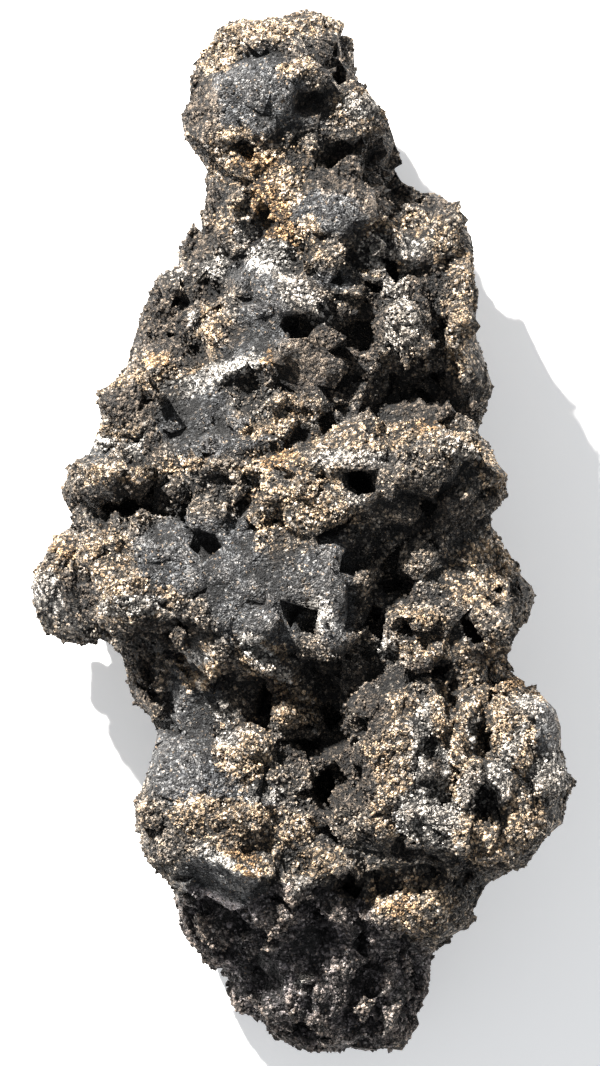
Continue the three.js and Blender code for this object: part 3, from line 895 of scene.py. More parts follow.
# %% Pale, the salts
PATCHES["pale"] = [
    (-11.3, 13.8, 1.9, 0.9, 0), (5.0, 7.2, 3.0, 0.8, -2), (5.2, 3.2, 1.2, 0.7, 0),
    (9.6, 23.4, 1.8, 1.1, -28), (9.8, 19.8, 1.5, 2.4, 0), (10.6, 27.6, 1.9, 1.0, 0),
    (-12.2, 24.6, 1.1, 0.6, -6), (-2.6, 26.8, 2.2, 1.4, 0), (7.6, 27.0, 1.8, 1.8, 0),
    (17.8, -24.6, 2.2, 2.4, -20), (12.6, -22.6, 1.6, 2.6, 0), (0.6, 22.4, 3.0, 1.3, -40),
    (-6.2, 16.0, 2.6, 0.7, 4), (5.8, 41.2, 1.8, 1.2, 0), (-5.0, 29.2, 1.3, 1.0, 0),
    (-10.3, 20.6, 0.8, 0.8, 0), (-8.2, 26.6, 1.2, 2.0, 10), (-9.0, 14.8, 2.2, 0.6, 8),
    (-16.2, -7.0, 3.0, 0.9, 4), (-24.4, -5.4, 1.3, 1.8, 0), (1.8, -7.6, 0.5, 1.4, 6),
    (-7.5, -16.9, 0.6, 1.2, 0), (-6.8, -19.6, 1.2, 0.8, 0), (11.9, -21.4, 1.0, 4.8, 2),
    (12.2, -27.2, 3.0, 2.4, 0), (16.5, -18.0, 0.5, 2.6, 0), (19.6, -22.6, 0.6, 4.6, -26),
    (22.0, -16.4, 1.0, 0.8, 0), (8.4, -11.2, 1.0, 0.9, 0), (-3.2, -12.2, 3.0, 0.9, -38),
    (0.3, -33.8, 0.8, 0.6, 0), (-7.6, -31.4, 2.6, 0.5, -28), (15.4, 7.9, 2.0, 0.9, -28),
    (24.0, -23.4, 1.9, 1.7, 0), (-4.0, -25.0, 2.4, 0.8, -4), (0.2, -43.0, 0.4, 0.4, 0),
    (13.2, -29.4, 2.4, 0.7, -16), (-19.0, 8.6, 1.4, 0.7, 0), (-15.2, 8.6, 1.4, 0.5, 20),
    (-9.6, -12.2, 1.2, 0.7, 0), (7.6, 33.0, 0.5, 1.6, 24),
]
print("pale:", len(PATCHES["pale"]), "ovals")

# %% Recess shade, painted dark brown into the recesses
PATCHES["recess_shade"] = [
    (2.9, 46.2, 1.4, 2.0, 0), (-0.6, 46.3, 0.8, 0.4, 6), (1.0, 41.2, 1.7, 1.2, -20),
    (-9.5, 41.0, 1.7, 3.2, 8), (2.2, 17.4, 2.4, 2.4, 0), (-8.6, 23.2, 1.5, 0.9, 0),
    (-6.2, 19.2, 1.1, 1.2, 0), (6.8, -17.6, 1.4, 2.2, 0), (0.0, 16.2, 2.4, 2.6, 0),
    (4.0, 44.2, 1.1, 0.9, -30), (7.2, 34.4, 2.6, 3.8, 20), (3.2, 35.0, 2.2, 1.6, 0),
    (12.4, 31.8, 1.8, 0.7, 0), (-8.2, 32.4, 0.9, 1.5, 0), (6.2, 19.4, 1.7, 3.2, -16),
    (8.9, 32.4, 0.8, 1.8, 20), (12.0, 24.0, 1.5, 2.2, 0), (12.8, 13.0, 4.2, 2.0, 0),
    (-9.7, 28.0, 2.0, 1.6, 0), (-13.4, 20.6, 2.4, 3.0, 0), (-10.5, 17.2, 1.8, 1.2, 20),
    (-16.4, 12.2, 2.4, 1.8, 0), (-14.2, 8.0, 0.9, 1.3, 0), (-17.6, 3.2, 4.6, 1.2, 0),
    (-11.0, 4.0, 2.4, 0.6, 0), (13.4, 2.2, 3.0, 1.8, -10), (5.4, 5.2, 1.4, 1.0, 0),
    (9.9, -5.2, 1.2, 1.4, 20), (13.0, -13.0, 2.6, 0.5, 0), (17.3, -11.4, 0.5, 1.6, 0),
    (-21.6, -6.2, 1.9, 2.2, 10), (-13.4, -9.6, 3.4, 1.0, 0), (-15.2, -14.0, 1.3, 3.0, 0),
    (3.8, -22.6, 2.2, 2.2, 0), (3.0, -13.8, 1.8, 1.3, 0), (3.4, -18.0, 1.2, 4.0, 0),
    (1.0, -20.6, 3.0, 1.6, 0), (2.4, -25.2, 1.3, 2.4, 0), (5.6, -24.0, 1.5, 2.6, 0),
    (6.0, -13.8, 2.4, 0.7, 0), (-3.4, -15.6, 0.8, 1.8, 0), (10.4, -30.6, 2.4, 0.8, -14),
    (4.4, -34.0, 1.4, 1.6, 0), (13.0, -22.6, 0.8, 0.9, 0), (19.4, -27.2, 0.9, 0.6, 0),
    (-11.0, -42.0, 2.0, 2.0, 0), (21.0, -5.4, 1.0, 1.2, 0),
]
print("brown:", len(PATCHES["recess_shade"]), "ovals")

# %% Foot, the dark end
PATCHES["foot"] = [
    (1.6, -43.6, 11.0, 6.6, 0), (-9.6, -38.4, 3.6, 3.6, 0), (0.6, -37.2, 5.6, 3.0, 0),
]
print("foot:", len(PATCHES["foot"]), "ovals")

# %% Reading the finishes
def oval_cover(name, x, y):
    """How much each place on the sheet belongs to a finish: 1 in an oval, falling to 0 past its rim."""
    cover = np.zeros(np.broadcast(x, y).shape, np.float32)
    for middle_x, middle_y, across, along, turn in PATCHES[name]:
        c, s = math.cos(math.radians(turn)), math.sin(math.radians(turn))
        u = (c * (x - middle_x) + s * (y - middle_y)) / across
        v = (c * (y - middle_y) - s * (x - middle_x)) / along
        cover = np.maximum(cover, np.clip(3.2 - 2.4 * np.sqrt(u * u + v * v), 0, 1))
    return cover


print("the finishes lie in", sum(len(ovals) for ovals in PATCHES.values()), "ovals")

# %% [markdown]
# ## Crumbly relief
#
# Over the masses lies a relief that gets finer in steps. Each step adds a random field to the
# distances. A random field whose values are folded at nought has sharp creases there: taken from the
# distances it makes round crumbs with creases between them, and added to them it makes sharp crests.

# %% Relief in steps
calm = oval_cover("slate", seen_x, seen_y)
calm = (calm * (1 - oval_cover("tan", seen_x, seen_y)))[:, :, None]
near_outline = np.clip((footprint + 1.1) / 0.9, 0, 1)[:, :, None]
roughness = np.clip(1.0 + random_field(6.0, 301) * 0.35, 0.6, 1.4)
roughness = roughness * (1 - 0.5 * calm) * (1 - 0.5 * near_outline)
FOLDED_MEAN = 0.4  # a folded field's usual value, taken away so the stone keeps its size


def folded(wave, seed):
    """A random field folded at nought."""
    return np.abs(random_field(wave, seed)) - np.float32(FOLDED_MEAN)


stone += random_field(4.4, 310) * np.float32(0.3)
stone += folded(2.2, 311) * 0.6 * roughness
stone -= folded(1.5, 314) * 0.9 * roughness
stone -= folded(0.9, 312) * 0.7 * roughness
stone += random_field(0.62, 313) * 0.22 * roughness
print("the relief in steps is added")

# %% [markdown]
# ## Shattering
#
# Smooth random fields alone look like dough. Broken lava is a patchwork of small faces, each tilted
# its own way, with steps and cracks where they meet. Scattered points share out the skin between
# them, every place belonging to its nearest point, and each point tilts and shifts its own share.

# %% Tilted faces with cracks between them
SHATTER_REACH = 1.2  # how far from the skin the stone is changed
CRACK_WIDTH = 0.3
CELL_HASH = (73, 1409, 4583)  # sends neighbouring cells to unlike rows of random numbers


def shatter(wave, tilt, step, crack_depth, amount, seed):
    """Breaks the skin into faces about as wide as wave. Amount, from 0 to 1, says where."""
    dice = np.random.default_rng(seed)
    deals = dice.uniform(-1, 1, (8192, 7)).astype(np.float32)
    near = np.argwhere(np.abs(stone) < SHATTER_REACH).astype(np.int32)
    places = near * np.float32(CUBE / wave)
    homes = np.floor(places).astype(np.int32)
    first = np.full(len(near), 9, np.float32)
    second = first.copy()
    change = np.zeros(len(near), np.float32)
    for neighbour in itertools.product((-1, 0, 1), repeat=3):
        cell = homes + np.array(neighbour, np.int32)
        deal = deals[sum(cell[:, axis] * CELL_HASH[axis] for axis in range(3)) % len(deals)]
        offset = places - cell - 0.5 - deal[:, :3] * 0.5
        distance = np.sqrt((offset * offset).sum(1))
        closer = distance < first
        second = np.where(closer, first, np.minimum(second, distance))
        first = np.where(closer, distance, first)
        tilted = (offset * deal[:, 3:6]).sum(1) * np.float32(tilt * wave)
        tilted = tilted + deal[:, 6] * np.float32(step)
        change = np.where(closer, tilted, change)
    cracks = np.clip(1 - (second - first) * (wave / CRACK_WIDTH), 0, 1) * np.float32(crack_depth)
    shares = np.broadcast_to(amount, stone.shape)[tuple(near.T)]
    stone[tuple(near.T)] += (change + cracks) * shares


inner_part = 1 - 0.85 * near_outline
shatter(
    2.3, tilt=0.3, step=0.25, crack_depth=0.25,
    amount=inner_part * np.clip(roughness, 0.6, 1), seed=81,
)
shatter(
    1.15, tilt=0.35, step=0.16, crack_depth=0.25,
    amount=inner_part * np.clip(roughness * 1.2, 0.5, 1), seed=82,
)
print("the skin is shattered")

# %% [markdown]
# ## Chips
#
# Broken lava has flat facets with crisp edges where flakes have come off. A chip is a flat block that
# is pressed a little way into the skin and carved out, almost square on to it. Few chips lie on the
# tan crust, which crumbles instead of flaking, or near the outline, where they would show as notches.

# %% Places on the skin
def skin_spots(count, seed, likely=None):
    """Random places on the skin and its direction there. Likely, from 0 to 1, thins them out."""
    dice = np.random.default_rng(seed)
    near = np.argwhere(np.abs(stone[2:-2, 2:-2, 2:-2]) < CUBE * 0.55) + 2
    spots = near[dice.choice(len(near), count * 3, replace=False)]
    if likely is not None:
        spots = spots[dice.uniform(0, 1, len(spots)) < likely[spots[:, 0], spots[:, 1], 0]]
    for i, j, k in spots[:count]:
        slope = np.array([
            stone[i + 1, j, k] - stone[i - 1, j, k],
            stone[i, j + 1, k] - stone[i, j - 1, k],
            stone[i, j, k + 1] - stone[i, j, k - 1],
        ])
        outward = slope / max(float(np.linalg.norm(slope)), 1e-6)
        yield np.array([axes[0][i], axes[1][j], axes[2][k]]), outward, dice


# %% Flat facets
CHIP_COUNT = 650
CHIP_HALF_WIDTH = 0.7  # of the smallest chip
CHIP_SPREAD = 2.3  # how many times wider the largest is
CHIP_HALF_THICKNESS = 1.0
CHIP_DEPTHS = (0.1, 0.35)

well_inside = 1 - np.clip((footprint + 3.0) / 2, 0, 0.95)
uncrusted = 1 - 0.75 * oval_cover("tan", seen_x, seen_y)
for place, outward, dice in skin_spots(CHIP_COUNT, 60, (well_inside * uncrusted)[:, :, None]):
    tilted = Vector(outward + dice.uniform(-0.2, 0.2, 3))
    angles = np.degrees(np.array(tilted.to_track_quat("Z", "Y").to_euler()))
    wide = CHIP_HALF_WIDTH * CHIP_SPREAD ** dice.uniform(0, 1, 2)
    centre = place + outward * (CHIP_HALF_THICKNESS - dice.uniform(*CHIP_DEPTHS))
    mould(centre, (*wide, CHIP_HALF_THICKNESS), angles, square=8, soft=0.1, sign=-1, bend=0.35)
print("the chips are out")

# %% [markdown]
# ## Layers
#
# The lava set in thin layers, which weather into fine parallel grooves. A groove's depth depends
# on the distance along one direction only, so the grooves are a line of random numbers laid through
# the stone and bent with it.

# %% Layers in some places
GROOVES = 400  # more than any oval has


def layers(x, y, across, along, turn, wave, depth, seed):
    """Grooves inside an oval, running in the direction turn, each about as wide as wave."""
    reach = max(across, along) * 1.5
    window = tuple(slice(index_of(v - reach, a), index_of(v + reach, a)) for a, v in enumerate((x, y)))
    gx, gy = across_grid[window][:, :, None] - x, along_grid[window][:, :, None] - y
    c, s = math.cos(math.radians(turn)), math.sin(math.radians(turn))
    u, v = c * gx + s * gy, c * gy - s * gx
    fade = np.clip(1.5 - 1.5 * np.sqrt((u / across) ** 2 + (v / along) ** 2), 0, 1)
    depths = np.random.default_rng(seed).uniform(-1, 1, GROOVES).astype(np.float32)
    place = (v + bends[0][window] * 0.8) / wave + GROOVES / 2
    first = np.floor(place).astype(int)
    t = place - first
    t = t * t * (3 - 2 * t)
    stone[window] += (depths[first] * (1 - t) + depths[first + 1] * t) * np.float32(depth) * fade


layers(-5, 8, 9, 6, turn=24, wave=1.1, depth=0.5, seed=51)
layers(0, -7, 7, 9, turn=88, wave=0.9, depth=0.5, seed=52)
layers(3, -43, 11, 9, turn=84, wave=1.0, depth=0.4, seed=53)
layers(4, 26, 5, 4, turn=-3, wave=0.9, depth=0.35, seed=54)
layers(13, 24, 5, 9, turn=80, wave=0.9, depth=0.3, seed=55)
layers(20, -20, 6, 9, turn=78, wave=1.0, depth=0.35, seed=56)
layers(-10, -15, 5, 6, turn=80, wave=1.0, depth=0.3, seed=57)
print("the layers are in")

# %% [markdown]
# ## Crumbs and pits
#
# Crumbs are baked onto the crust, and gas bubbles have broken open into pits. Both come in all
# sizes, most of them small. Crumbs are sunk into the skin, so they don't look stuck on.

# %% Crumbs and pits
def pepper(count, smallest, largest, sign, sink, seed):
    """Adds (or carves) eggs of random size and turn at random places on the skin."""
    likely = (1 - 0.75 * calm) * (1 - 0.6 * near_outline)
    for place, outward, dice in skin_spots(count, seed, likely):
        size = smallest * (largest / smallest) ** (dice.uniform() ** 2)
        shape = size * dice.uniform(0.7, 1.3, 3)
        angles = dice.uniform(0, 360, 3)
        mould(place - outward * size * sink, shape, angles, square=2, soft=0.2, sign=sign, bend=0)


ADD, CARVE = 1, -1
pepper(520, smallest=0.8, largest=1.7, sign=ADD, sink=0.5, seed=61)
pepper(80, smallest=0.5, largest=0.9, sign=CARVE, sink=0.0, seed=62)
pepper(3000, smallest=0.42, largest=0.8, sign=ADD, sink=0.35, seed=63)
pepper(1600, smallest=0.3, largest=0.6, sign=CARVE, sink=0.0, seed=64)
stone = within_outline(stone, 0.55)
print("crumbs and pits are in")

# %% [markdown]
# ## Skin
#
# The surface is where the distance is nought. It is meshed from the grid, and loose crumbs that
# touch nothing are dropped.

# %% Mesh of the rock
BASE_LEVEL = 0.02  # the rock is cut off level, a hair above the floor

stone = np.maximum(stone, BASE_LEVEL - axes[2][None, None, :])
skin_grid = openvdb.FloatGrid(BAND * CUBE)
skin_grid.copyFromArray(np.clip(stone, -3, 3).astype(np.float32), ijk=tuple(int(v) for v in low))
skin_grid.transform = openvdb.createLinearTransform(voxelSize=CUBE)
points, quads = skin_grid.convertToQuads(0.0)
print("the skin has", len(quads) * 2, "triangles before thinning")


def largest_body(points, quads):
    """Drops every part of the mesh but the largest."""
    label = np.arange(len(points))
    while True:
        lowest = label[quads].min(1)
        after = label.copy()
        np.minimum.at(after, quads.ravel(), np.repeat(lowest, 4))
        after = after[after]
        if (after == label).all():
            break
        label = after
    names, counts = np.unique(label, return_counts=True)
    kept = label == names[counts.argmax()]
    renumbered = np.cumsum(kept) - 1
    return points[kept], renumbered[quads[kept[quads[:, 0]]]]


def mesh_from(name, points, faces):
    """A mesh with these corners, in metres, and faces that all have the same number of corners."""
    mesh = bpy.data.meshes.new(name)
    mesh.vertices.add(len(points))
    mesh.vertices.foreach_set("co", points.astype(np.float32).ravel())
    mesh.loops.add(faces.size)
    mesh.loops.foreach_set("vertex_index", faces.astype(np.int32).ravel())
    mesh.polygons.add(len(faces))
    mesh.polygons.foreach_set("loop_start", np.arange(0, faces.size, faces.shape[1], dtype=np.int32))
    mesh.update(calc_edges=True)
    mesh.validate()
    return mesh


points, quads = largest_body(points, quads)
rock = bpy.data.objects.new("lava_stone", mesh_from("lava_stone", points * UNIT, quads))
bpy.context.scene.collection.objects.link(rock)
print("the largest body has", len(points), "corners")

# %% [markdown]
# The grid gives far more triangles than the eye can use, so the mesh is thinned. The side that lies
# on the floor may be coarser than the side that is seen, and a group of corners says which is which.

# %% Thinning
MOST_TRIANGLES = 197_000
WEIGHT_STEPS = 10


def applied(obj, kind, **settings):
    """Adds a modifier to the object and applies it."""
    modifier = obj.modifiers.new(kind.lower(), kind)
    for key, value in settings.items():
        setattr(modifier, key, value)
    with bpy.context.temp_override(object=obj, active_object=obj):
        bpy.ops.object.modifier_apply(modifier=modifier.name)


seen = rock.vertex_groups.new(name="seen")
heights = points[:, 2]
weights = np.clip((heights - 3) / 8, 0.15, 1)
for step in range(WEIGHT_STEPS):
    from_weight, to_weight = step / WEIGHT_STEPS, (step + 1) / WEIGHT_STEPS
    is_last = step == WEIGHT_STEPS - 1
    chosen = np.flatnonzero((weights >= from_weight) & ((weights < to_weight) | is_last))
    seen.add(chosen.tolist(), (step + 0.5) / WEIGHT_STEPS, "REPLACE")
ratio = MOST_TRIANGLES / (2 * len(rock.data.polygons))
applied(rock, "DECIMATE", ratio=ratio, vertex_group="seen", vertex_group_factor=0.6)
applied(rock, "TRIANGULATE")
print("thinning leaves", len(rock.data.polygons), "triangles")

# %% [markdown]
# Thinning leaves a few corners where the skin touches itself or stands open, and a closed stone has
# neither. They are cut out and their holes are filled, until none is left.

# %% Mending
MOST_ROUNDS = 12


def mend(obj):
    """Cuts out corners with doubled or open edges, and closes the holes."""
    shape = bmesh.new()
    shape.from_mesh(obj.data)
    for _ in range(MOST_ROUNDS):
        bad = [
            corner for corner in shape.verts
            if not corner.is_manifold or any(len(edge.link_faces) != 2 for edge in corner.link_edges)
        ]
        if not bad:
            break
        bmesh.ops.delete(shape, geom=bad, context="VERTS")
        rims = [edge for edge in shape.edges if len(edge.link_faces) == 1]
        bmesh.ops.holes_fill(shape, edges=rims, sides=0)
        bmesh.ops.triangulate(shape, faces=[face for face in shape.faces if len(face.verts) > 3])
    volume = shape.calc_volume(signed=True) * 1e6
    print("bad corners left:", len(bad), "and the volume is", round(volume), "cubic centimetres")
    shape.to_mesh(obj.data)
    shape.free()


mend(rock)
rock.data.shade_smooth()
print("the skin has", len(rock.data.polygons), "triangles")

# %% [markdown]
# ## Colours on the skin
#
# Each corner of the mesh stores how much it belongs to each finish, how deep in a hollow it lies and
# how far it stands out on an edge. The last two come from the share of stone in the space around
# it: half on a flat face, more in a hollow, less on an edge.

# %% Share of stone round a place
BLOCK = 4  # cubes to an edge of the coarse grid
coarse_shape = [length // BLOCK for length in stone.shape]
trimmed = stone[tuple(slice(0, n * BLOCK) for n in coarse_shape)] < 0
share = trimmed.reshape([n for length in coarse_shape for n in (length, BLOCK)]).mean((1, 3, 5))
share = blurred(share.astype(np.float32), 3)


def stone_share(places):
    """Share of stone round each place, read smoothly from the coarse grid."""
    grid = (places / CUBE - low) / BLOCK - 0.5 + 0.5 / BLOCK
    first = np.clip(np.floor(grid).astype(int), 0, np.array(share.shape) - 2)
    t = np.clip(grid - first, 0, 1)
    total = np.zeros(len(places), np.float32)
    for corner in range(8):
        bits = np.array([corner & 1, corner >> 1 & 1, corner >> 2])
        weight = np.prod(np.where(bits, t, 1 - t), axis=1)
        i, j, k = (first + bits).T
        total += weight * share[i, j, k]
    return total


print("the coarse grid has", share.shape, "blocks")

# %% Finishes stored on the mesh
HOLLOW_GAIN = 3.2  # how soon a hollow or an edge counts in full


def finishes_at(places):
    """The finishes and the hollow and edge values at each place, by name."""
    sheet_places = apparent(places[:, 0], places[:, 1], places[:, 2])
    values = {finish: oval_cover(finish, *sheet_places) for finish in PATCHES}
    shares = stone_share(places)
    # The hollow value is used to paint shade into hollows.
    values["hollow"] = np.clip((shares - 0.5) * HOLLOW_GAIN, 0, 1)
    # The edge value is used to paint highlight onto edges.
    values["edge"] = np.clip((0.5 - shares) * HOLLOW_GAIN, 0, 1)
    return values


def store(mesh, name, values):
    """Stores one number on each corner of the mesh."""
    attribute = mesh.attributes.new(name, "FLOAT", "POINT")
    attribute.data.foreach_set("value", values.astype(np.float32))


def read_numbers(items, name, width, kind=np.float32):
    """One property of all corners or faces, as an array."""
    numbers = np.empty(len(items) * width, kind)
    items.foreach_get(name, numbers)
    return numbers.reshape(-1, width) if width > 1 else numbers


skin_points = read_numbers(rock.data.vertices, "co", 3) / np.float32(UNIT)
for finish, values in finishes_at(skin_points).items():
    store(rock.data, finish, values)
store(rock.data, "shade", np.full(len(skin_points), 0.5))
print("the skin stores", [layer.name for layer in rock.data.attributes if layer.domain == "POINT"])

# %% [markdown]
# Sharp edges of the lava get a painted highlight, and creases get painted shade. A corner of the
# mesh is on an edge if it stands out from the middle of its neighbours, and in a crease if it lies
# below it.

# %% Sharp edges and creases
SHARP_OFFSET = 0.07  # how far a corner stands out on a fully sharp edge

edge_ends = read_numbers(rock.data.edges, "vertices", 2, np.int32)
both_ways = np.concatenate([edge_ends, edge_ends[:, ::-1]])
neighbour_counts = np.bincount(both_ways[:, 0], minlength=len(skin_points))


def neighbour_mean(values):
    """The mean of each corner's neighbours."""
    return np.bincount(both_ways[:, 0], values[both_ways[:, 1]], len(skin_points)) / neighbour_counts


skin_normals = read_numbers(rock.data.vertices, "normal", 3)
middles = np.stack([neighbour_mean(skin_points[:, i]) for i in range(3)], 1)
stand_out = ((skin_points - middles) * skin_normals).sum(1)
stand_out = (stand_out + neighbour_mean(stand_out)) / 2
sharp = np.clip(stand_out / SHARP_OFFSET, -1, 1)
store(rock.data, "sharp", sharp)
print("a tenth of the corners stand out by more than", np.percentile(stand_out, 90).round(3))

# %% [markdown]
# ## Grains
#
# The crust is a pile of mineral grains, and nothing shows its scale as well as grains that cast
# their own shadows. Each grain is a small crystal with jittered corners. Many grains are joined in
# one mesh, and every grain stores its own shade.

# %% Places for grains
corner_numbers = read_numbers(rock.data.loops, "vertex_index", 1, np.int32).reshape(-1, 3)
corner_a, corner_b, corner_c = (skin_points[corner_numbers[:, i]] for i in range(3))
face_normals = np.cross(corner_b - corner_a, corner_c - corner_a)
face_areas = np.linalg.norm(face_normals, axis=1) / 2
face_normals /= np.maximum(face_areas[:, None] * 2, 1e-9)
face_middles = (corner_a + corner_b + corner_c) / 3
face_finishes = finishes_at(face_middles)
skin_area = float(face_areas.sum()) * (UNIT * 100) ** 2
print("the skin's area is", round(skin_area), "square centimetres")


CELL_STRIDES = np.array([1, 4096, 4096 * 4096])  # give every cell of space its own number


def scattered(count, spacing, likely, seed):
    """Random places on the skin, no two in one cell of this spacing, and the direction there."""
    dice = np.random.default_rng(seed)
    chances = face_areas * likely
    faces = dice.choice(len(face_areas), count * 3, p=chances / chances.sum())
    a, b = dice.uniform(0, 1, (2, len(faces), 1)).astype(np.float32)
    fold = a + b > 1
    a, b = np.where(fold, 1 - a, a), np.where(fold, 1 - b, b)
    places = corner_a[faces] * (1 - a - b) + corner_b[faces] * a + corner_c[faces] * b
    cells = np.floor(places / spacing).astype(np.int64) @ CELL_STRIDES
    _, first = np.unique(cells, return_index=True)
    first = np.sort(first)[:count]
    return places[first], face_normals[faces[first]], dice


# %% Two crystals
CRYSTALS = {  # the corners and the triangles of each shape
    "octahedron": (
        [(1, 0, 0), (-1, 0, 0), (0, 1, 0), (0, -1, 0), (0, 0, 1), (0, 0, -1)],
        [
            (0, 2, 4), (2, 1, 4), (1, 3, 4), (3, 0, 4),
            (2, 0, 5), (1, 2, 5), (3, 1, 5), (0, 3, 5),
        ],
    ),
    "block": (
        [
            (-1, -1, -1), (1, -1, -1), (1, 1, -1), (-1, 1, -1),
            (-1, -1, 1), (1, -1, 1), (1, 1, 1), (-1, 1, 1),
        ],
        [
            (0, 2, 1), (0, 3, 2), (4, 5, 6), (4, 6, 7), (0, 1, 5), (0, 5, 4),
            (1, 2, 6), (1, 6, 5), (2, 3, 7), (2, 7, 6), (3, 0, 4), (3, 4, 7),
        ],
    ),
}
print("the crystals are", list(CRYSTALS))


# %% Making grains
def random_turns(count, dice):
    """Matrices that turn each grain its own way, from random quaternions."""
    turns = dice.normal(0, 1, (count, 4))
    turns /= np.linalg.norm(turns, axis=1)[:, None]
    w, x, y, z = turns.T
    return np.array([
        [1 - 2 * (y * y + z * z), 2 * (x * y - z * w), 2 * (x * z + y * w)],
        [2 * (x * y + z * w), 1 - 2 * (x * x + z * z), 2 * (y * z - x * w)],
        [2 * (x * z - y * w), 2 * (y * z + x * w), 1 - 2 * (x * x + y * y)],
    ]).transpose(2, 0, 1)


def grains(name, crystal, count, spacing, smallest, largest, sink, likely, brightness, seed):
    """One mesh of many grains. Sizes are radii, and sink is how deep they sit, in radii."""
    corners, triangles = (np.array(part) for part in CRYSTALS[crystal])
    corners = corners / np.linalg.norm(corners, axis=1)[:, None]
    places, outward, dice = scattered(count, spacing, likely, seed)
    count = len(places)
    sizes = smallest * (largest / smallest) ** dice.uniform(0, 1, count) ** 1.6
    matrices = random_turns(count, dice)
    shapes = corners[None] * dice.uniform(0.65, 1.25, (count, len(corners), 1))
    shapes = shapes * dice.uniform(0.55, 1.3, (count, 1, 3)) * sizes[:, None, None]
    shapes = np.einsum("nij,nkj->nki", matrices, shapes)
    centres = places - outward * (sizes * sink)[:, None]
    centres[:, 2] = np.maximum(centres[:, 2], sizes * 1.3)  # none reaches into the floor
    all_corners = (centres[:, None] + shapes).reshape(-1, 3)
    first_corners = len(corners) * np.arange(count)[:, None, None]
    all_faces = (triangles[None] + first_corners).reshape(-1, 3)
    mesh = mesh_from(name, all_corners * UNIT, all_faces)
    low_shade, high_shade = brightness
    shades = low_shade + (high_shade - low_shade) * dice.uniform(0, 1, count)
    for finish, values in finishes_at(places).items():
        store(mesh, finish, np.repeat(values, len(corners)))
    store(mesh, "shade", np.repeat(shades, len(corners)))
    store(mesh, "sharp", np.zeros(len(all_corners)))
    obj = bpy.data.objects.new(name, mesh)
    bpy.context.scene.collection.objects.link(obj)
    print(name, "has", count, "grains and", len(all_faces), "triangles")
    return obj, crystal


# %% [markdown]
# Where the grains lie tells the finishes apart. The crust is thick with them, in clusters, and the
# slate is nearly bare. Few lie on the underside or near the outline. The bright ones gather on the
# tan and pale places, and on the edges as a painted highlight, and few lie in hollows, a painted shade.

# %% Grains of two shapes
def grid_values(field, places):
    """A field's values at these places, from the nearest cube."""
    cubes = np.round((places - [axis[0] for axis in axes]) / CUBE).astype(int)
    i, j, k = np.clip(cubes, 0, np.array(stone.shape) - 1).T
    return field[i, j, k]


upper = np.clip(0.35 + face_normals[:, 2] * 0.65, 0.1, 1) * (face_middles[:, 2] > 1.0)
smooth_face = np.clip(face_finishes["slate"] - face_finishes["tan"], 0, 1)
clusters = np.clip(0.9 + grid_values(random_field(1.5, SEED + 50), face_middles), 0.1, 2)
inner = 1 - 0.45 * grid_values(np.broadcast_to(near_outline, stone.shape), face_middles)
crusty = upper * clusters * inner * (1 - 0.93 * smooth_face)
# Bright grains on the edges are a painted highlight, and keeping them out of hollows is painted shade.
light_finishes_and_lit_edges = 0.3 + face_finishes["tan"] + face_finishes["pale"] + face_finishes["edge"]
bright = upper * clusters**2 * light_finishes_and_lit_edges
bright *= inner * (1 - 0.8 * face_finishes["hollow"]) * (1 - 0.8 * smooth_face)
on_the_left = face_middles[:, 0] < 0

# The crumbs are in two meshes, which keeps each under 200,000 triangles.
CRUMB = {"crystal": "block", "count": 16_000, "spacing": 0.4, "smallest": 0.16, "largest": 0.42}
GRAIN_PIECES = [
    grains("crumbs_left", **CRUMB, sink=0.1, likely=crusty * on_the_left, brightness=(0, 1), seed=71),
    grains("crumbs_right", **CRUMB, sink=0.1, likely=crusty * ~on_the_left, brightness=(0, 1), seed=72),
    grains(
        "sand", "octahedron", count=23_000, spacing=0.28, smallest=0.1, largest=0.24,
        sink=-0.2, likely=crusty, brightness=(0, 1), seed=73,
    ),
    grains(
        "bright_sand", "octahedron", count=18_000, spacing=0.24, smallest=0.08, largest=0.2,
        sink=-0.3, likely=bright, brightness=(0.3, 1), seed=74,
    ),
]

# %% [markdown]
# ## Places for baking
#
# Whoever takes the rock to another program bakes its finish into a picture, which needs every face
# to have its own place there. The skin is laid out as six views from the outside, with the top view
# the largest. Every grain gets a cell of its own.

# %% Six views for the skin
VIEWS = (  # axis that the faces look along, its sign, and the view's corner and size in the picture
    (2, 1, 0.0, 0.0, 0.5, 1.0),
    (2, -1, 0.5, 0.0, 0.25, 0.5),
    (0, 1, 0.5, 0.5, 0.16, 0.5),
    (0, -1, 0.67, 0.5, 0.16, 0.5),
    (1, 1, 0.84, 0.5, 0.16, 0.24),
    (1, -1, 0.84, 0.75, 0.16, 0.24),
)
SPREAD_AXES = {2: (0, 1), 0: (2, 1), 1: (2, 0)}  # what runs across and up the picture in each view
GUTTER = 0.003  # between one view and the next


def bake_layer(mesh, spots):
    """Stores a place in the picture for each corner of each face."""
    layer = mesh.uv_layers.new(name="OFBake")
    layer.data.foreach_set("uv", np.clip(spots, 0, 1).astype(np.float32).ravel())


